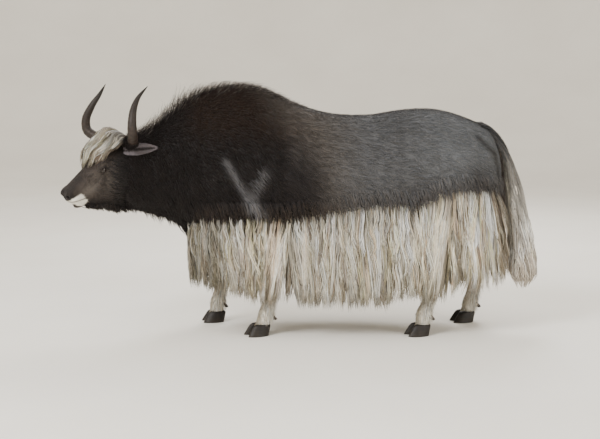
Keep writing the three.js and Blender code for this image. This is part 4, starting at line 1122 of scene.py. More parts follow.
def forelock():
    """A mop that springs from the poll and falls forward and to both sides in wavy locks."""
    r = np.random.default_rng(51)
    k = 8
    locks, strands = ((172, 13))
    n = locks * strands
    rep = lambda v: np.repeat(v, strands)
    a0 = r.uniform(-52, 96, locks)
    ang0 = r.uniform(-1.25, 1.25, locks)
    far = np.abs(ang0) / 1.25
    ang1 = ang0 * 1.12 + r.normal(0, 0.16, locks)
    a1 = np.clip(a0 + r.uniform(80, 215, locks), 40, 252 - 66 * far ** 2)
    tt = np.linspace(0, 1, k + 1)
    c = np.interp(tt, [0, 0.4, 1], [1, 0.85, 0.36])
    da, dg = r.normal(0, 12, n), r.normal(0, 0.15, n)
    cp, ca, cf = r.uniform(0, 6.28, locks), r.uniform(4, 12, locks), r.uniform(0.5, 1.25, locks)
    wave = rep(ca)[:, None] * np.sin(rep(cp)[:, None] + rep(cf)[:, None] * 6.28 * tt) * np.interp(tt, [0, 0.3, 1], [0, 0.7, 1.1])
    a = rep(a0)[:, None] + rep(a1 - a0)[:, None] * tt + da[:, None] * c + 0.3 * wave
    ang = rep(ang0)[:, None] + rep(ang1 - ang0)[:, None] * tt ** 1.2 + dg[:, None] * c + wave / 88
    top = rep(r.uniform(0.66, 1.0, locks))[:, None]
    rad = np.interp(tt, [0, 0.2, 0.65, 1], [0.35, 0.86, 1.0, 0.9])[None] * top + r.normal(0, 0.025, (n, 1)) * tt
    q = mop_at(a, np.clip(ang, -1.7, 1.7), rad)
    fall = step(tt, 0.6, 1.0)[None] * rep(r.uniform(2, 38, locks) * (1 - 0.6 * far))[:, None]  # the ends drop over the brow
    line = out_of(FACE, q)
    line[..., 2] -= fall
    own_p, own_a = r.uniform(0, 6.28, (n, 2)), np.exp(r.normal(0.8, 0.5, (n, 1)))
    line[..., 0] += own_a * np.sin(own_p[:, :1] + 6 * tt) * tt
    line[..., 2] += own_a * np.sin(own_p[:, 1:] + 5 * tt) * tt
    w = 1.6 * np.exp(r.normal(0, 0.25, n))[:, None] * np.interp(np.arange(k) / k, [0, 0.5, 0.84], [0.8, 1, 0.45])[None]
    pick = rep(r.uniform(size=locks))
    own = r.uniform(size=n)
    pick = np.where(own < 0.25, own * 4, pick)
    col = mix(np.broadcast_to(C["cream"], (n, 3)), C["white"], (pick < 0.30) * 0.85)
    col = mix(col, C["straw"] * 0.85, ((pick > 0.36) & (pick < 0.58)) * 0.85)
    col = mix(col, C["grey_brown"] * 0.75, ((pick > 0.58) & (pick < 0.82)) * 0.85)
    col = mix(col, C["umber"] * 0.6, (pick > 0.86) * 0.8)
    col = col * np.exp(rep(r.normal(-0.1, 0.26, locks)))[:, None]
    col = mix(col, C["grey_brown"] * 0.55, 0.75 * rep(step(-ang0, 0.25, 0.95)) * r.uniform(0.5, 1.1, n).clip(0, 1))
    col = mix(col, C["straw"] * 0.62, 0.7 * rep(np.exp(-((ang0 + 0.1) / 0.45) ** 2) * step(a0, 0, 60)) * r.uniform(0.3, 1.1, n).clip(0, 1))
    col = mix(col, C["dark"] * 1.6, 0.75 * rep(step(-a0, -10, 40) * step(ang0, 0.55, 1.1)))  # dark hair round the root of the near horn
    up = unit(out_of(FACE, mop_at(rep(a0), rep(ang0), 1.2)) - out_of(FACE, mop_at(rep(a0), rep(ang0), 0.9)))
    col = varied(col, n, 0.17, rng=r)
    tufts("coat_forelock", line, w, col, spread_uv(rep(a0) + da, rep(ang0) + dg), up, LONG, "forelock_hair", ("forelock",), flat=0.6, root_shade=0.5,
          tip=mix(col, np.broadcast_to(C["straw"] * 0.85, col.shape), 0.4 * r.uniform(size=n)))
    # thick under-hair that closes the mop; its dark umber is painted shade under the mop
    m = 460
    a0 = r.uniform(-50, 150, m)
    ang0 = r.uniform(-1.5, 1.5, m)
    ln = r.uniform(50, 80, m)
    tt4 = np.linspace(0, 1, 5)
    q = mop_at(a0[:, None] + ln[:, None] * tt4, ang0[:, None] + 0.1 * np.sign(ang0)[:, None] * tt4, np.interp(tt4, [0, 0.4, 1], [0.4, 0.74, 0.82])[None] + 0 * a0[:, None])
    up = unit(out_of(FACE, mop_at(a0, ang0, 1.2)) - out_of(FACE, mop_at(a0, ang0, 0.9)))
    w = np.full((m, 4), 8.0) * np.linspace(1, 0.5, 4)[None]
    tufts("coat_forelock_under", out_of(FACE, q), w, varied(np.broadcast_to(C["umber"] * 0.6, (m, 3)), m, 0.15, rng=r), spread_uv(a0, ang0), up, LONG, "forelock_hair", flat=0.7)
    # dark hair that closes round the roots of the horns and hangs under them
    kk = 4
    tt = np.linspace(0, 1, kk + 1)
    parts = []
    for side in (1, -1):
        m = 900 if side > 0 else 420
        c = smooth_line([[f, side * l, z] for f, l, z in HORN], 200)
        i = r.integers(18, 62 if side > 0 else 36, m)
        tan = unit(c[i + 1] - c[i - 1])
        ref = unit(np.cross(tan, np.array([0.0, 0.0, 1.0])))
        upw = np.cross(ref, tan)
        upw = upw * np.sign(upw[:, 2:] + 1e-9)
        th = r.uniform(-math.pi, math.pi, m)
        out = np.cos(th)[:, None] * upw + np.sin(th)[:, None] * ref
        low = step(-np.cos(th), -0.2, 0.8)
        ln = (19 + 6 * low) * np.exp(r.normal(0, 0.22, m)) * np.where((low > 0.2) & (i > 22) & (side > 0), 0.42, 1)
        d = unit(tan * (0.9 + 0.2 * r.normal(size=(m, 1))) + 0.3 * out + np.array([0.0, 0.0, -1.0]) * (0.15 + 0.75 * low)[:, None] + 0.2 * r.normal(size=(m, 3)))
        line = c[i][:, None] + out[:, None] * (HORN_R - 3 + 7 * np.sin(np.minimum(tt * 2, 1.57)))[None, :, None] + d[:, None] * (ln[:, None] * tt)[..., None]
        parts.append((out_of(SKULL, line), out @ SKULL[:3, :3].T, i + 300.0 * (side > 0), th))
    line, up, u, v2 = (np.concatenate(x) for x in zip(*parts))
    m = len(line)
    w = 1.9 * np.exp(r.normal(0, 0.22, m))[:, None] * np.linspace(1, 0.4, kk)[None]
    col = varied(np.broadcast_to(C["dark"] * 1.25, (m, 3)), m, 0.25, rng=r)
    tufts("coat_horn_roots", line, w, col, spread_uv(u, v2), up, FUR, "dark_coat", flat=0.5, root_shade=0.85)


# ------------------------------------------------------------------ short hair on face, ears and legs; beard
def sample_skin(me_v, me_tri, weight, count, rng):
    a, b, c = me_v[me_tri[:, 0]], me_v[me_tri[:, 1]], me_v[me_tri[:, 2]]
    nor = np.cross(b - a, c - a)
    area = np.linalg.norm(nor, axis=1)
    w = area * weight
    cum = np.cumsum(w) / w.sum()
    t = np.searchsorted(cum, (np.arange(count) + rng.uniform(size=count)) / count).clip(0, len(w) - 1)
    u, v = rng.uniform(size=count), rng.uniform(size=count)
    flip = u + v > 1
    u[flip], v[flip] = 1 - u[flip], 1 - v[flip]
    return a[t] + (b - a)[t] * u[:, None] + (c - a)[t] * v[:, None], unit(nor[t]), t


def short_hair(name, p, nor, flow, length, width, lift, col, uv, slot, k=2, rng=RNG, nodes=(), sink=1.5, droop=0.0, flat=0.45):
    n = len(p)
    flow = unit(flow - nor * np.sum(flow * nor, 1, keepdims=True))
    tt = np.linspace(0, 1, k + 1)
    side = np.cross(nor, flow)
    swing = rng.normal(0, 0.16, (n, 1))
    d = unit(flow + side * swing)
    lift = np.broadcast_to(lift, (n,))
    line = p[:, None, :] + d[:, None, :] * (length[:, None] * tt)[..., None] + nor[:, None, :] * (
        lift[:, None] * np.sin(np.minimum(tt * 1.9, 1.57)) - sink * (1 - tt))[..., None]
    line[..., 2] -= droop * length[:, None] * tt ** 2
    w = width[:, None] * np.linspace(1, 0.45, k)[None]
    return tufts(name, line, w, col, uv, nor, FINE if k <= 2 else LONG, slot, nodes, flat=flat, root_shade=0.85)


def face_flow(q):
    """Hair runs from the nose up and back over the face, round the eye, and down the cheeks."""
    a, l, u = q[:, 0], q[:, 1], q[:, 2]
    f = np.stack([-np.ones(len(q)), 0.25 * np.sign(l) * step(np.abs(l), 10, 60), -0.25 - 0.5 * step(-u, 60, 140)], 1)
    for s in (1, -1):
        d = q - EYE * np.array([1, s, 1])
        r = np.linalg.norm(d, axis=1)
        f = f + unit(d) * (1.3 * np.exp(-(r / 30) ** 2))[:, None]
    return f


def head_parts(v, tri, head_w):
    r = np.random.default_rng(61)
    n = 8200
    rear = step(v[tri].mean(1)[:, 0], -1040, -950)
    p, nor, t = sample_skin(v, tri, head_w * (1 + 0.8 * rear), n, r)
    q = into(FACE, p)
    on = (np.linalg.norm(q - EYE, axis=1) > 28) & (np.linalg.norm(q - EYE * np.array([1, -1, 1]), axis=1) > 28)
    pad = (q[:, 0] > 416) & (q[:, 2] > -94) & (np.abs(q[:, 1]) < 46)
    mouth = (np.abs(q[:, 2] + 98 + 0.40 * np.maximum(440 - q[:, 0], 0)) < 5) & (q[:, 0] > 344)
    on &= ~pad & ~mouth
    p, nor, q = p[on], nor[on], q[on]
    n = len(p)
    fine = step(q[:, 0], 250, 400)
    rear = step(p[:, 0], -1040, -945)
    ln = (25 - 15 * fine + 34 * rear) * np.exp(r.normal(0, 0.2, n))
    jaw = step(h_jaw(q[:, 0]) + 80 - q[:, 2], 0, 60) * (1 - step(q[:, 0], 320, 400))
    ln = ln * (1 + 0.7 * jaw * (1 - rear)) * (1 - 0.45 * rear * (q[:, 1] < 0))
    w = (2.1 - 0.9 * fine + 0.9 * rear) * np.exp(r.normal(0, 0.15, n)) * 1
    flow = face_flow(q) @ FACE[:3, :3].T
    col = varied(head_colour(q), n, 0.12, 0.03, rng=r)
    short_hair("coat_face", p, nor, flow, ln, w, 2.2 - 1.2 * fine + 3 * jaw + 6 * rear, col, spread_uv(q[:, 0], np.arctan2(q[:, 1], q[:, 2] + 110)), "dark_coat", 2, r)


def lashes():
    r = np.random.default_rng(68)
    k = 3
    tt = np.linspace(0, 1, k + 1)
    lines, ups, uvs = [], [], []
    for s in (1, -1):
        n = 44
        al = 0.24 + np.linspace(-0.6, 0.5, n) + r.normal(0, 0.015, n)
        up = 0.58 * np.clip(1 - ((al - 0.26) / 0.72) ** 2, 0, 1) ** 0.75 + 0.06
        d0, d2 = al * math.cos(0.22) + up * math.sin(0.22), -al * math.sin(0.22) + up * math.cos(0.22)
        dn = np.stack([d0, s * np.sqrt(np.maximum(1 - al ** 2 - up ** 2, 0.02)), d2], 1)
        fan = np.stack([0.9 * (al - 0.34), 0 * al, 0.35 + 0 * al], 1)
        way = unit(dn * np.array([0.2, 1.0, 0.2]) + fan + 0.08 * r.normal(size=(n, 3)))
        ln = r.uniform(7, 12, n)
        q = EYE * np.array([1, s, 1]) + dn[:, None] * (EYE_R + 2.6) + way[:, None] * (ln[:, None] * tt)[..., None]
        q[..., 2] -= 1.6 * np.sin(tt * 2.2)
        lines.append(out_of(FACE, q))
        ups.append(dn @ FACE[:3, :3].T)
        uvs.append(np.stack([al + 3 * s, up], 1))
    line, up, uv = np.concatenate(lines), np.concatenate(ups), np.concatenate(uvs)
    m = len(line)
    tufts("coat_lashes", line, np.full((m, 1), 0.8) * np.array([[1, 0.8, 0.5]]), varied(np.broadcast_to(C["black"] * 1.3, (m, 3)), m, 0.2, rng=r),
          spread_uv(uv[:, 0], uv[:, 1]), up, FINE, "dark_coat", flat=0.8)


def nape(v, tri):
    """Longer hair that runs from the back of the cheek over the seam with the neck."""
    r = np.random.default_rng(69)
    c = v[tri].mean(1)
    w = np.exp(-((c[:, 0] + 962) / 42) ** 2) * (c[:, 2] > 640) * (c[:, 2] < 1080)
    n = 1800
    p, nor, t = sample_skin(v, tri, w, n, r)
    q = into(FACE, p)
    on = ~((q[:, 2] > -30) & (np.abs(q[:, 1]) < 90))
    p, nor, q = p[on], nor[on], q[on]
    n = len(p)
    ln = 54 * np.exp(r.normal(0, 0.2, n))
    flow = np.stack([np.ones(n), 0.1 * r.normal(size=n), -0.55 + 0.15 * r.normal(size=n)], 1)
    col = varied(np.broadcast_to(C["dark"], (n, 3)), n, 0.12, 0.03, rng=r)
    short_hair("coat_nape", p, nor, flow, ln, 3.0 * np.exp(r.normal(0, 0.2, n)), 9 + 0 * ln, col, spread_uv(np.arctan2(q[:, 1], q[:, 2] + 150), p[:, 0]), "dark_coat", 2, r)


def beard():
    """Shaggy hair under jaw and throat, hanging to a ragged edge, and the fringe of the brisket."""
    r = np.random.default_rng(63)
    k = 4
    locks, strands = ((230, 11))
    n = locks * strands
    rep = lambda v: np.repeat(v, strands)
    # half of the locks hang from the jaw, half from the throat
    s = np.sort(r.uniform(0, 1, locks))
    on_jaw = s < 0.46
    a = np.interp(s, [0, 0.46], [366, 30])
    side = r.uniform(-1, 1, locks)
    side = np.where(on_jaw, side * np.interp(a, [30, 80, 150], [0.3, 0.45, 1]), side)
    drop = np.interp(a, [30, 90, 130, 220, 300, 366], [66, 64, 50, 44, 36, 22])
    jaw_q = np.stack([a, side * 0.6 * h_half(a), h_jaw(a) + 22 - 16 * (1 - side ** 2)], 1)
    jaw_p = out_of(FACE, jaw_q)
    xs = np.interp(s, [0.46, 1], [-1000, -612])
    side = np.where(on_jaw, side, side * np.interp(xs, [-1000, -850], [0.2, 1]))
    ang = math.pi - side * 0.95
    neck_p = body_at(xs, ang, 34.0)
    root = np.where(on_jaw[:, None], jaw_p, neck_p)
    length = np.where(on_jaw, drop, np.interp(xs, [-1000, -880, -810, -720, -680, -612], [40, 46, 66, 62, 48, 64])) * np.exp(r.normal(0, np.where(on_jaw & (a > 110), 0.08, 0.18)))
    tt = np.linspace(0, 1, k + 1)
    clump = np.interp(tt, [0, 0.4, 1], [1, 0.85, 0.35])
    d = np.where(on_jaw[:, None], np.array([0.5, 0, -1.0]), np.array([0.3, 0, -1.0]))
    jit = r.normal(0, 1, (n, 3)) * np.array([13, 10, 5])
    cp = rep(r.uniform(0, 6.28, locks))
    line = np.repeat(root, strands, 0)[:, None, :] + jit[:, None, :] * clump[None, :, None]
    ln = rep(length)[:, None] * (1 + r.normal(0, 0.1, (n, 1)))
    line = line + np.repeat(unit(d), strands, 0)[:, None, :] * (ln * tt)[..., None]
    line[..., 1] += 4 * np.sin(cp[:, None] + 5 * tt) * tt
    line[..., 0] += 5 * np.sin(cp[:, None] * 1.3 + 4 * tt) * tt
    w = 3.0 * np.exp(r.normal(0, 0.2, n))[:, None] * np.linspace(1, 0.4, k)[None]
    col = mix(np.broadcast_to(C["dark"], (n, 3)), C["face"], 0.3 * rep(on_jaw.astype(float)))
    up = np.stack([-0.5 + 0 * cp, rep(side), 0.15 + 0 * cp], 1)
    tufts("coat_beard", line, w, varied(col, n, 0.16, rng=r), spread_uv(rep(s) + 0.01 * jit[:, 0] / 11, rep(side) + 0.1 * jit[:, 1] / 9), up, FUR, "dark_coat", flat=0.5, root_shade=0.85)


def leg_hair(v, tri, legs_w):
    r = np.random.default_rng(64)
    n = 4400
    p, nor, t = sample_skin(v, tri, legs_w, n, r)
    names = list(LIMB)
    d = np.stack([np.hypot(p[:, 0] - LIMB[m][0](p[:, 2]), p[:, 1] - LIMB[m][1](p[:, 2])) for m in names], 1)
    which = d.argmin(1)
    col = np.zeros((n, 3))
    back = np.zeros(n)
    for i, m in enumerate(names):
        s = which == i
        col[s] = leg_colour(p[s], m)
        back[s] = (p[s, 0] - LIMB[m][0](p[s, 2])) / LIMB[m][2](p[s, 2])
    z = p[:, 2]
    low = 1 - step(z, 160, 330)
    fet = np.exp(-((z - 128) / 26) ** 2) * step(back, 0.2, 0.8)
    cor = 1 - step(z, 66, 84)  # the fringe over the hoof
    ln = (38 - 14 * low) * np.exp(r.normal(0, 0.2, n)) * (1 + 0.8 * fet)
    ln = np.minimum(ln, np.maximum(z - 40, 8))
    w = (3.0 - 1.0 * low) * np.exp(r.normal(0, 0.18, n)) * 1
    flow = np.stack([0.15 + 0.1 * r.normal(size=n), 0.1 * r.normal(size=n), -np.ones(n)], 1)
    col = mix(col, C["white"], 0.5 * fet)
    col = varied(col, n, 0.13, rng=r)
    short_hair("coat_legs", p, nor, flow, ln, w, 3.2 + 3 * (1 - low) + 4.5 * fet + 4 * cor, col, spread_uv(np.arctan2(nor[:, 1], nor[:, 0]) + 6.6 * which, z), "leg_hair", 3, r, flat=0.5)
    # a short skirt of hair from the pastern down over each hoof
    n = 1500
    parts = []
    for i, m in enumerate(names):
        k = n // 4
        a = r.uniform(0, 2 * math.pi, k)
        z = r.uniform(62, 92, k)
        px, py, sx, sy = LIMB[m]
        q = np.stack([px(z) + (sx(z) - 2) * np.cos(a), py(z) + (sy(z) - 2) * np.sin(a), z], 1)
        nor = np.stack([np.cos(a), np.sin(a), 0.25 + 0 * a], 1)
        parts.append((q, unit(nor), leg_colour(q, m), a + 6.6 * i, z))
    q, nor, col, u, v2 = (np.concatenate(x) for x in zip(*parts))
    ln = r.uniform(18, 40, len(q))
    flow = nor * np.array([1, 1, 0]) * 0.75 + np.array([0, 0, -1.0])
    short_hair("coat_coronet", q, nor, flow, ln, np.full(len(q), 2.1), 2.0 + 0 * ln, varied(mix(col, C["white"], 0.4), len(q), 0.16, rng=r), spread_uv(u, v2), "leg_hair", 2, r)
    # long pale hair down the back of each cannon
    n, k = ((1500, 5))
    tt = np.linspace(0, 1, k + 1)
    parts = []
    for i, m in enumerate(names):
        c = n // 4
        z = r.uniform(120, 300, c)
        a = r.normal(0, 0.75, c)
        px, py, sx, sy = LIMB[m]
        ln = r.uniform(46, 92, c)
        zz = np.maximum(z[:, None] - ln[:, None] * tt, 60 + r.uniform(0, 14, (c, 1)))
        out = 3 + 20 * tt ** 1.3 * np.exp(r.normal(0, 0.3, (c, 1)))
        ph = r.uniform(0, 6.28, (c, 1))
        line = np.stack([px(zz) + (sx(zz) + out) * np.cos(a)[:, None] + 2 * np.sin(ph + 7 * tt) * tt,
                         py(zz) + (sy(zz) + 0.6 * out) * np.sin(a)[:, None] + 2 * np.cos(ph + 6 * tt) * tt, zz], -1)
        parts.append((line, np.stack([np.cos(a), np.sin(a), 0 * a], 1), mix(leg_colour(line[:, 0], m), C["white"], 0.7 * r.uniform(0.4, 1, c)), a + 4.0 * i, z))
    line, up, col, u, v2 = (np.concatenate(x) for x in zip(*parts))
    m = len(line)
    w = 2.0 * np.exp(r.normal(0, 0.22, m))[:, None] * np.interp(np.arange(k) / k, [0, 0.4, 0.8], [0.8, 1, 0.4])[None]
    tufts("coat_feather", line, w, varied(col, m, 0.16, rng=r), spread_uv(u, v2), up, LONG, "leg_hair", flat=0.5, root_shade=0.7)


# ------------------------------------------------------------------ ears
def ear_grid(side, m=26, k=22):
    """A leaf of skin rolled forward at its edges: outer face, rim and hollow."""
    axis = EAR_TIP - EAR_ROOT
    length = np.linalg.norm(axis)
    axis = axis / length
    across = np.array([-0.25, -0.15, 1.0])
    across = across - axis * (across @ axis)
    across /= np.linalg.norm(across)
    front = np.cross(axis, across)
    t = np.linspace(0, 1, m)[:, None]
    a = np.linspace(0, 2 * math.pi, k, endpoint=False)[None]
    wide = (EAR_W - 3) * np.sin(math.pi * np.clip(0.16 + 0.84 * t, 0, 1)) ** 0.75 + 1.0
    wide = np.where(t > 0.985, 2.0, wide)
    thick = 4.2 * (1 - 0.5 * t) + 3.5 * np.exp(-(t / 0.18) ** 2)
    c, s = np.cos(a), np.sin(a)
    dip = 13 * c * c * (wide / EAR_W) - 6
    p = EAR_ROOT + axis * (length * 0.97 * t)[..., None] + across * (wide * c)[..., None] + front * (thick * s + dip)[..., None]
    p[..., 1] *= side
    return p, front * np.array([1, side, 1])


def ear_mesh(side):
    p, front = ear_grid(side)
    m, k = p.shape[:2]
    verts = out_of(SKULL, p.reshape(-1, 3))
    ends = np.stack([verts[:k].mean(0), verts[-k:].mean(0)])
    verts = np.concatenate([verts, ends])
    faces = []
    for i in range(m - 1):
        for j in range(k):
            j2 = (j + 1) % k
            q = [i * k + j, i * k + j2, (i + 1) * k + j2, (i + 1) * k + j]
            faces.append(q[::-1] if side > 0 else q)
    for j in range(k):
        j2 = (j + 1) % k
        a, b = [m * k, j2, j], [m * k + 1, (m - 1) * k + j, (m - 1) * k + j2]
        faces += [a[::-1], b[::-1]] if side > 0 else [a, b]
    return verts, faces


def ear_hair():
    r = np.random.default_rng(66)
    out = []
    for side in (1, -1):
        p, front = ear_grid(side, 60, 48)
        n = 1500
        i, j = r.integers(2, 56, n), r.integers(0, 48, n)
        c = p[i, j]
        e = 1e-3
        nor = np.cross(p[np.minimum(i + 1, 59), j] - p[i - 1, j], p[i, (j + 1) % 48] - p[i, j - 1]) * -side
        nor = unit(nor)
        centre = p[i].mean(1)
        nor = nor * np.sign(np.sum(nor * (c - centre), 1, keepdims=True) + 1e-9)
        flow = unit(p[np.minimum(i + 1, 59), j] - p[i - 1, j])
        t = i / 60
        # painted shade: the deep middle of the ear's hollow is darkened to a black slit
        slit = step(np.sin(2 * math.pi * j / 48), 0.92, 0.985) * step(t, 0.2, 0.4) * (1 - step(t, 0.82, 0.95))
        rim = np.abs(np.cos(2 * math.pi * j / 48)) > 0.8
        col = mix(np.broadcast_to(C["ear"] * 1.15, (n, 3)), C["black"], 0.8 * slit)
        col = mix(col, C["ear"] * 1.3, rim * 0.5)
        m3 = SKULL[:3, :3].T
        out.append((out_of(SKULL, c), nor @ m3, flow @ m3, np.where(rim, 13.0, 10.0) * np.exp(r.normal(0, 0.2, n)), varied(col, n, 0.15, rng=r), i / 60 + 0 * j, side * (0.2 + j / 48)))
    p, nor, flow, ln, col, u, v = (np.concatenate(x) for x in zip(*out))
    short_hair("coat_ears", p, nor, flow, ln, np.full(len(p), 1.6), np.full(len(p), 1.6), col, spread_uv(u, v), "dark_coat", 2, r, sink=0.8)


# ------------------------------------------------------------------ skin
def eyelids(v):
    """Lids: the skin hugs the ball outside an almond opening and sinks behind it inside."""
    q = into(FACE, v)
    for s in (1, -1):
        e = EYE * np.array([1, s, 1])
        d = q - e
        r = np.linalg.norm(d, axis=1)
        near = (r < 64) & (d[:, 1] * s > -14)
        dn = d / np.maximum(r, 1e-6)[:, None]
        # local right-hand axes of the eye: along the face and up it, turned so that the slit slopes down to the nose
        al = dn[:, 0] * math.cos(0.22) - dn[:, 2] * math.sin(0.22)
        up = dn[:, 0] * math.sin(0.22) + dn[:, 2] * math.cos(0.22)
        mid = 0.26  # the slit looks a little forward
        arch = np.clip(1 - ((al - mid) / 0.72) ** 2, 0, 1)
        top, bottom = 0.58 * arch ** 0.75, -0.50 * arch ** 0.85
        gap = np.minimum(top - up, up - bottom)
        gap = np.where(np.abs(al - mid) < 0.72, gap, -np.abs(al - mid) + 0.56)
        out = dn[:, 1] * s
        opening = step(gap, -0.06, 0.05) * (out > 0)
        rim = np.exp(-((gap + 0.10) / 0.09) ** 2)
        fold = np.exp(-((up - top - 0.24) / 0.07) ** 2) * (np.abs(al - mid) < 0.7)
        cover = EYE_R + 1.5 + 2.4 * rim - 1.4 * fold
        hold = near & (out > -0.2)
        # the lids hug the ball and rise gently from it all round, sooner under the brow
        edge = 0.42 + 0.26 * step(up, 0.3, 0.8)
        close = step(out, edge - 0.55, edge)
        lid = r + (cover - r) * close * (1 - opening)
        lid = np.where((r < cover) & (opening < 0.5), np.maximum(lid, cover), lid)
        sunk = np.where(hold, lid * (1 - opening) + (EYE_R - 3.5) * opening, r)
        q[hold] = e + dn[hold] * sunk[hold][:, None]
    return out_of(FACE, q)


def mouth_and_folds(v, nor):
    q = into(FACE, v)
    a, l, u = q[:, 0], np.abs(q[:, 1]), q[:, 2]
    line = -98 - 0.40 * np.maximum(440 - a, 0)
    on = step(a, 342, 360) * step(l + (a > 424) * 60, 16, 28)
    d = -7.0 * on * np.exp(-((u - line) / 3.6) ** 2)
    d += 1.6 * on * np.exp(-((u - line - 9) / 6) ** 2)
    # creases of the face: under the eye, along the nose and behind the corner of the mouth
    for ca, cu, slope, w, depth, la in ((212, -86, -0.25, 4, 1.6, 30), (226, -97, -0.3, 4, 1.1, 30), (334, -128, 0.9, 3.5, 1.6, 16), (324, -134, 0.9, 3.5, 1.2, 16),
                                       (182, -18, 0.3, 4, 1.4, 26), (286, -66, -0.1, 6, 1.4, 60), (352, -62, 0.7, 3.5, 1.0, 18)):
        d -= depth * np.exp(-((u - cu - slope * (a - ca)) / w) ** 2) * np.exp(-((a - ca) / la) ** 2) * step(l, 30, 46)
    d += 0.55 * noise_fine(v) * step(a, -40, 40)
    # the nose pad is pebbled
    pad = step(a, 416, 426) * (1 - step(-u, 88, 96)) * (1 - step(l, 36, 44))
    d += 0.5 * pad * noise_pebble(v)
    return v + nor * d[:, None]


noise_fine, noise_pebble = Waves(21, 26), Waves(22, 7, 14)


def vertex_normals(v, tri):
    n = np.cross(v[tri[:, 1]] - v[tri[:, 0]], v[tri[:, 2]] - v[tri[:, 0]])
    out = np.zeros_like(v)
    for k in range(3):
        np.add.at(out, tri[:, k], n)
    return unit(out)


def refine(v, faces, zone, rounds):
    """Splits the faces in a zone into smaller ones, then cuts every face into triangles."""
    bm = bmesh.new()
    for p in v:
        bm.verts.new(p)
    bm.verts.ensure_lookup_table()
    for f in faces:
        bm.faces.new([bm.verts[i] for i in f])
    for i in range(rounds):
        bm.verts.ensure_lookup_table()
        co = np.array([w.co[:] for w in bm.verts])
        inside = zone(co, i)
        edges = [e for e in bm.edges if inside[e.verts[0].index] and inside[e.verts[1].index]]
        bmesh.ops.subdivide_edges(bm, edges=edges, cuts=1, use_grid_fill=True)
        bm.verts.index_update()
    bmesh.ops.triangulate(bm, faces=bm.faces[:])
    bm.verts.index_update()
    v = np.array([w.co[:] for w in bm.verts])
    tri = np.array([[w.index for w in f.verts] for f in bm.faces])
    bm.free()
    return v, tri


def build_skin():
    size = 13.0
    v, quads = surface_nets((-1345, -345, 30), (1275, 345, 1400), size)
    v = slide_to_skin(v, 2)

    def zone(co, i):
        q = into(FACE, co)
        head = (q[:, 0] > -30 - 10 * i) & (q[:, 2] > -350) & (q[:, 2] < 40) & (np.abs(q[:, 1]) < 130)
        feet = co[:, 2] < 330
        eye = np.minimum(np.linalg.norm(q - EYE, axis=1), np.linalg.norm(q - EYE * np.array([1, -1, 1]), axis=1)) < 44
        snout = (q[:, 0] > 330) & (q[:, 2] > -190)
        return (head | feet) if i == 0 else head if i == 1 else (eye | snout)

    v, tri = refine(v, quads, zone, 3)
    v = slide_to_skin(v, 3)
    q = into(FACE, v)
    near = (q[:, 0] > -40) & (q[:, 2] > -360)
    nor = vertex_normals(v, tri)
    moved = mouth_and_folds(v, nor)
    v[near] = moved[near]
    lids = eyelids(v)
    v[near] = lids[near]
    return v, tri


v, tri = build_skin()
head_q = into(FACE, v)
tri_c = v[tri].mean(1)
tri_q = into(FACE, tri_c)
lo, hi = BOX["head"]
on_head = ((tri_q[:, 0] > -20) & (np.abs(tri_q[:, 1]) < 125) & (tri_q[:, 2] > -350) & (tri_q[:, 2] < 30)).astype(float)
under_mop = (tri_q[:, 0] < 120) & (tri_q[:, 2] > -30) & (np.abs(tri_q[:, 1]) < 90)
on_head *= np.where(under_mop, 0.15, 1)
on_legs = (tri_c[:, 2] < 470) * np.where(tri_c[:, 2] < 330, 1.0, 0.35)

skin_v, skin_f = v, [list(t) for t in tri]
ear_parts = [ear_mesh(1), ear_mesh(-1)]
all_v = [skin_v]
all_f = list(skin_f)
offset = len(skin_v)
ear_tint = []
for ev, ef in ear_parts:
    all_v.append(ev)
    all_f += [[i + offset for i in f] for f in ef]
    offset += len(ev)
allv = np.concatenate(all_v)
tint = skin_colour(skin_v)
lie = np.stack([skin_v[:, 0] * 0.03, np.arctan2(skin_v[:, 1], skin_v[:, 2] - 800) * 90, 0 * skin_v[:, 0]], 1)
q = head_q
is_head = (q[:, 0] > -20) & (np.abs(q[:, 1]) < 140) & (q[:, 2] > -360) & (q[:, 2] < 40)
lie[is_head] = np.stack([q[is_head, 0] * 0.09, np.arctan2(q[is_head, 1], q[is_head, 2] + 110) * 42, 0 * q[is_head, 0] + 7], 1)
legs_v = skin_v[:, 2] < 460
lie[legs_v] = np.stack([skin_v[legs_v, 2] * 0.06, skin_v[legs_v, 0] * 0.45, skin_v[legs_v, 1] * 0.45], 1)
for i, (ev, ef) in enumerate(ear_parts):
    side = 1 if i == 0 else -1
    k = 22
    j = np.arange(len(ev) - 2) % k
    # painted shade: the middle of the ear's hollow is nearly black
    inner = step(np.sin(2 * math.pi * j / k), 0.88, 0.99)
    col = mix(np.broadcast_to(C["ear"], (len(j), 3)), C["black"] * 1.3, inner * 0.9)
    col = np.concatenate([col, col[:2]])
    tint = np.concatenate([tint, col])
    lie = np.concatenate([lie, ev * 0.2])
starts, loops = [], []
pos = 0
for f in all_f:
    starts.append(pos)
    loops += f
    pos += len(f)
skin = new_mesh("skin", metres(allv), np.array(loops), np.array(starts), None, {"tint": tint, "lie": lie})
place(skin, skin_material(), "dark_coat", "head", "muzzle", "neck", "shoulders", "barrel", "hindquarters", "foreleg_left", "foreleg_right",
      "hindleg_left", "hindleg_right", "ear_left", "ear_right", "tail_dock")
print("skin", len(tri), "triangles")

body_coat()
mane()
fringe(-1.0, "coat_fringe_left", ("skirt_left", "skirt_chest"), 101, 1.0)
fringe(1.0, "coat_fringe_right", ("skirt_right",), 102, 0.53)
dark_overlap()
tail_hair()
forelock()
head_parts(v, tri, on_head)
lashes()
nape(v, tri)
beard()
leg_hair(v, tri, on_legs)
ear_hair()


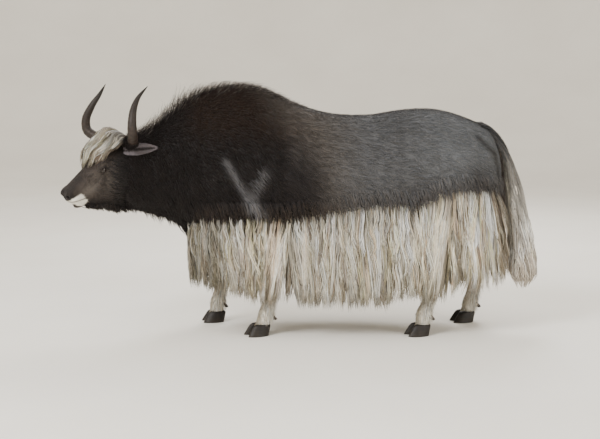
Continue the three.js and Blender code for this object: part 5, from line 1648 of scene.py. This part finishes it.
# ------------------------------------------------------------------ horns
def tube_mesh(name, centre, radius, around, tint_fn, lie_fn, mat, slot, nodes, flat=1.0):
    """A closed round form along a line of centres. radius is (m, around)."""
    m = len(centre)
    tan = unit(np.gradient(centre, axis=0))
    n = np.zeros_like(centre)
    ref = np.array([0.0, 0.0, 1.0])
    n[0] = unit(ref - tan[0] * (ref @ tan[0]))
    for i in range(1, m):
        n[i] = unit(n[i - 1] - tan[i] * (n[i - 1] @ tan[i]))
    b = np.cross(tan, n)
    a = np.linspace(0, 2 * math.pi, around, endpoint=False)
    ring = centre[:, None] + radius[..., None] * (n[:, None] * np.cos(a)[None, :, None] + b[:, None] * np.sin(a)[None, :, None] * flat)
    verts = np.concatenate([ring.reshape(-1, 3), centre[:1] - tan[:1] * 2, centre[-1:] + tan[-1:] * radius[-1, 0] * 0.8])
    loops, starts, pos = [], [], 0
    for i in range(m - 1):
        for j in range(around):
            j2 = (j + 1) % around
            loops += [i * around + j, i * around + j2, (i + 1) * around + j2, (i + 1) * around + j]
            starts.append(pos)
            pos += 4
    for j in range(around):
        j2 = (j + 1) % around
        loops += [m * around, j2, j, m * around + 1, (m - 1) * around + j, (m - 1) * around + j2]
        starts += [pos, pos + 3]
        pos += 6
    t = np.concatenate([np.repeat(np.linspace(0, 1, m), around), [0, 1]])
    aa = np.concatenate([np.tile(a, m), [0, 0]])
    ob = new_mesh(name, metres(verts), np.array(loops), np.array(starts), None, {"tint": tint_fn(t, aa), "lie": lie_fn(t, aa)})
    return place(ob, mat, slot, *nodes)


def horns():
    mat = horn_material()
    for side, nm in ((1, "left"), (-1, "right")):
        pts = [[f, side * l, z] for f, l, z in HORN]
        m, around = 150, 28
        c = out_of(SKULL, smooth_line(pts, m))
        t = np.linspace(0, 1, m)[:, None]
        a = np.linspace(0, 2 * math.pi, around, endpoint=False)[None]
        r = HORN_R * (1 - 0.9 * t ** 2.8) - 0.4
        rings = np.sin(t * 130 + 1.6 * np.sin(t * 31) + 0.5 * np.sin(a)) * 1.05 * np.exp(-(t / 0.6) ** 2) + 0.5 * np.sin(t * 47 + 2) * np.exp(-(t / 0.5) ** 2)
        ridge = 0.35 * np.sin(a * 5 + 3 * t) + 0.25 * np.sin(a * 11 + 9 * t)
        r = r + (rings - 0.3) * (1 - 0.6 * t) + ridge * (1 - t) - 1.0
        tint_fn = lambda tt, aa: np.stack([np.interp(tt, [0, 0.35, 0.8, 1], v) for v in zip(tone(58, 48, 43), tone(47, 39, 35), tone(37, 31, 28), tone(26, 22, 21))], 1)
        lie_fn = lambda tt, aa: np.stack([tt * 60, np.cos(aa) * 1.6, np.sin(aa) * 1.6], 1)
        tube_mesh("horn_" + nm + "_keratin", c, r, around, tint_fn, lie_fn, mat, "horn", ("horn_" + nm,))


# ------------------------------------------------------------------ eyes
def eyes():
    mat = eye_material()
    for side, nm in ((1, "left"), (-1, "right")):
        e = EYE * np.array([1, side, 1])
        out = unit(np.array([0.30, side * 1.0, 0.04]))
        level = unit(np.array([1.0, -side * 0.30, 0.0]) - out * (np.array([1.0, -side * 0.30, 0.0]) @ out))
        level = unit(level * math.cos(0.5) + np.cross(out, level) * math.sin(0.5) * side)
        up = np.cross(out, level)
        m, around = 40, 48
        th = np.linspace(0, math.pi, m)[1:-1]
        ph = np.linspace(0, 2 * math.pi, around, endpoint=False)
        tg, pg = np.meshgrid(th, ph, indexing="ij")
        d = np.cos(tg)[..., None] * out + np.sin(tg)[..., None] * (np.cos(pg)[..., None] * level + np.sin(pg)[..., None] * up)
        rad = EYE_R - 0.5 + 1.1 * np.exp(-(tg / 0.62) ** 4)
        verts = (e + d * rad[..., None]).reshape(-1, 3)
        verts = np.concatenate([verts, [e + out * (EYE_R + 0.6)], [e - out * (EYE_R - 0.5)]])
        loops, starts, pos = [], [], 0
        mm = m - 2
        for i in range(mm - 1):
            for j in range(around):
                j2 = (j + 1) % around
                loops += [i * around + j, (i + 1) * around + j, (i + 1) * around + j2, i * around + j2]
                starts.append(pos)
                pos += 4
        for j in range(around):
            j2 = (j + 1) % around
            loops += [mm * around, j, j2, mm * around + 1, (mm - 1) * around + j2, (mm - 1) * around + j]
            starts += [pos, pos + 3]
            pos += 6
        dd = unit(verts - e)
        x, y, z = dd @ level, dd @ up, dd @ out
        iris = step(z, 0.62, 0.68)
        pupil = step(1 - np.hypot(x / 0.36, y / 0.17), -0.12, 0.08) * (z > 0)
        col = mix(np.broadcast_to(tone(48, 40, 36), verts.shape), tone(30, 21, 16), iris)
        col = mix(col, tone(52, 36, 26), iris * 0.5 * np.exp(-((np.hypot(x, y) - 0.5) / 0.12) ** 2))
        col = mix(col, tone(9, 7, 7), pupil)
        me = new_mesh("eyeball_" + nm, metres(out_of(FACE, verts)), np.array(loops), np.array(starts), None, {"tint": col})
        place(me, mat, "eye", "eye_" + nm)
        me.data.update()
        bm = bmesh.new()
        bm.from_mesh(me.data)
        bmesh.ops.recalc_face_normals(bm, faces=bm.faces[:])
        bm.to_mesh(me.data)
        bm.free()


# ------------------------------------------------------------------ hooves
def hooves():
    mat = horn_material()
    mat.name = "yak_hoof"
    for name, ((fx, fy), line) in LIMBS.items():
        for side, w in ((-1, "l"), (1, "r")):
            m, around = 26, 40
            t = np.linspace(0, 1, m)[:, None]
            a = np.linspace(0, 2 * math.pi, around, endpoint=False)[None]
            z = (HOOF_H - 1) * (1 - t) + 0 * a
            lean = 26 * (1 - t) ** 1.1
            grown = 0.8 + 0.2 * t
            round_in = np.where(t > 0.94, 1 - 0.03 * ((t - 0.94) / 0.06) ** 2, 1.0)
            grown = grown * round_in
            x = (HOOF_L / 2) * grown * np.cos(a)
            half = HOOF_W / 2 - CLEFT / 2
            y = (half * grown * np.sin(a) + half * grown) / 2
            toe = np.clip(-np.cos(a), 0, 1)
            rings = 0.55 * np.sin(z * 0.62 + 0.5 * np.cos(a)) * np.sin(np.pi * np.clip(t * 1.05, 0, 1))
            px = 10 + lean + x * np.where(toe > 0, 1.06, 0.92) * (1 + rings * 0.012)
            py = side * (CLEFT / 2 + 0.4 + y * (1 - 0.18 * toe ** 3) * (1 + rings * 0.006))
            # the coronet closes in softly under the hair
            k = 1 - 0.16 * np.exp(-t / 0.05)
            cx = (px.mean(1, keepdims=True), py.mean(1, keepdims=True))
            px, py = cx[0] + (px - cx[0]) * k, cx[1] + (py - cx[1]) * k
            # each claw splays a little, and the whole foot turns about the line of the leg
            heel, o, tr = 66.0, -side * math.radians(SPLAY), math.radians(TURN[name])
            dx, dy = px - heel, py - side * CLEFT / 2
            px, py = heel + dx * math.cos(o) - dy * math.sin(o), side * CLEFT / 2 + dx * math.sin(o) + dy * math.cos(o)
            lx = line[0][0]
            px, py = lx + (px - lx) * math.cos(tr) - py * math.sin(tr), (px - lx) * math.sin(tr) + py * math.cos(tr)
            ring = np.stack([px + fx, py + fy, z + 0 * a], -1)
            verts = np.concatenate([ring.reshape(-1, 3), [[ring[0, :, 0].mean(), ring[0, :, 1].mean(), HOOF_H - 1]], [[ring[-1, :, 0].mean(), ring[-1, :, 1].mean(), 0]]])
            loops, starts, pos = [], [], 0
            for i in range(m - 1):
                for j in range(around):
                    j2 = (j + 1) % around
                    loops += [i * around + j, i * around + j2, (i + 1) * around + j2, (i + 1) * around + j]
                    starts.append(pos)
                    pos += 4
            for j in range(around):
                j2 = (j + 1) % around
                loops += [m * around, j2, j, m * around + 1, (m - 1) * around + j, (m - 1) * around + j2]
                starts += [pos, pos + 3]
                pos += 6
            tt = np.concatenate([np.repeat(np.linspace(0, 1, m), around), [0, 1]])
            aa = np.concatenate([np.tile(np.linspace(0, 2 * math.pi, around, endpoint=False), m), [0, 0]])
            col = mix(np.broadcast_to(tone(32, 28, 26), (len(tt), 3)), tone(50, 44, 36), 0.5 * step(tt, 0.35, 0.8) * (1 - step(tt, 0.9, 1.0)))
            lie = np.stack([tt * 14, np.cos(aa) * 1.4 + fx, np.sin(aa) * 1.4 + side], 1)
            ob = new_mesh("claw_" + name + "_" + w, metres(verts), np.array(loops), np.array(starts), None, {"tint": col, "lie": lie})
            bm = bmesh.new()
            bm.from_mesh(ob.data)
            bmesh.ops.recalc_face_normals(bm, faces=bm.faces[:])
            bm.to_mesh(ob.data)
            bm.free()
            place(ob, mat, "hoof", "hoof_" + name + "_" + w)
            # the small claw behind the fetlock
            ca, sa, lx = math.cos(math.radians(TURN[name])), math.sin(math.radians(TURN[name])), line[0][0]
            root, tip = (np.array([fx + lx + (bx - lx) * ca - by * sa, fy + (bx - lx) * sa + by * ca, bz])
                         for bx, by, bz in ((line[1][0] + 30, side * 22, 108.0), (line[1][0] + 58, side * 27, 87.0)))
            c = root + (tip - root) * np.linspace(0, 1, 14)[:, None]
            c[:, 2] -= 4 * np.sin(np.linspace(0, 3.14, 14))
            rr = np.interp(np.linspace(0, 1, 14), [0, 0.5, 0.85, 1], [11.5, 11, 7.5, 3.5])[:, None] * np.ones((1, 18))
            tube_mesh("dewclaw_horn_" + name + "_" + w, c, rr, 18, lambda tt, aa: np.broadcast_to(tone(48, 41, 35), (len(tt), 3)),
                      lambda tt, aa: np.stack([tt * 8, np.cos(aa), np.sin(aa)], 1), mat, "hoof", ("dewclaw_" + name + "_" + w,), flat=0.8)


horns()
eyes()
hooves()

# ------------------------------------------------------------------ floor, light and camera
def studio():
    # a round bowl: flat floor, wide cove, high wall, so that no edge shows from any side
    flat_r, cove, top = 9.5, 6.5, 17.0
    prof = [(0.0, 0.0), (3.0, 0.0), (6.0, 0.0), (flat_r, 0.0)] + [(flat_r + cove * math.sin(a), cove - cove * math.cos(a)) for a in np.linspace(0, math.pi / 2, 20)[1:]] + [(flat_r + cove, top)]
    around = 96
    ang = np.linspace(0, 2 * math.pi, around, endpoint=False)
    verts = np.array([[0.0, 0.0, 0.0]] + [[r * math.cos(a), r * math.sin(a), z] for r, z in prof[1:] for a in ang])
    loops, starts = [], []
    for j in range(around):
        starts.append(len(loops))
        loops += [0, 1 + j, 1 + (j + 1) % around]
    for i in range(len(prof) - 2):
        for j in range(around):
            j2 = (j + 1) % around
            starts.append(len(loops))
            loops += [1 + i * around + j, 1 + (i + 1) * around + j, 1 + (i + 1) * around + j2, 1 + i * around + j2]
    ob = new_mesh("studio_floor", verts, np.array(loops), np.array(starts))
    m, nt, b = material("studio_paper")
    n = node(nt, "ShaderNodeTexNoise", Scale=0.9, Detail=3.0)
    nt.links.new(stretched(nt, (1, 1, 1)), n.inputs["Vector"])
    nt.links.new(ramp(nt, n.outputs["Fac"], [(0.3, tuple(tone(240, 235, 225))), (0.7, tuple(tone(246, 242, 233)))]), b.inputs["Base Color"])
    b.inputs["Roughness"].default_value = 0.9
    ob.data.materials.append(m)
    w = bpy.data.worlds.new("studio")
    bpy.context.scene.world = w
    w.use_nodes = True
    bg = w.node_tree.nodes["Background"]
    bg.inputs["Color"].default_value = (1.0, 0.98, 0.95, 1)
    bg.inputs["Strength"].default_value = 1.1
    for nm, loc, aim, size, power in (
        ("key", (-4.2, -5.2, 5.2), (0, 0, 0.8), 3.4, 620), ("fill", (5.6, -5.0, 3.0), (0.2, 0, 0.8), 4.5, 230), ("rim", (1.5, 4.6, 4.8), (0, 0, 1.0), 3.0, 260)):
        d = bpy.data.lights.new(nm, "AREA")
        d.shape, d.size, d.energy = "DISK", size, power
        ob = bpy.data.objects.new(nm, d)
        ob.location = loc
        ob.visible_camera = False
        ob.rotation_euler = (Vector(aim) - Vector(loc)).to_track_quat("-Z", "Y").to_euler()
        bpy.context.scene.collection.objects.link(ob)


studio()
cam = bpy.data.cameras.new("camera")
cam.lens, cam.sensor_width, cam.clip_end = 76.0, 36.0, 100.0
cam_ob = bpy.data.objects.new("camera", cam)
eye_at = Vector(metres(np.array([4.6, -7000.0, 1450.0])))
look = Vector(metres(np.array([4.6, 0.0, 612.0])))
cam_ob.location = eye_at
cam_ob.rotation_euler = (look - eye_at).to_track_quat("-Z", "Y").to_euler()
bpy.context.scene.collection.objects.link(cam_ob)
bpy.context.scene.camera = cam_ob

total = sum(len(o.data.polygons) for o in bpy.data.objects if o.type == "MESH" and not o.hide_render)
tris = 0
for o in bpy.data.objects:
    if o.type == "MESH" and not o.hide_render:
        o.data.calc_loop_triangles()
        t = len(o.data.loop_triangles)
        tris += t
        if t > 60000:
            print(o.name, t)
print("triangles shown", tris)
bpy.context.view_layer.update()
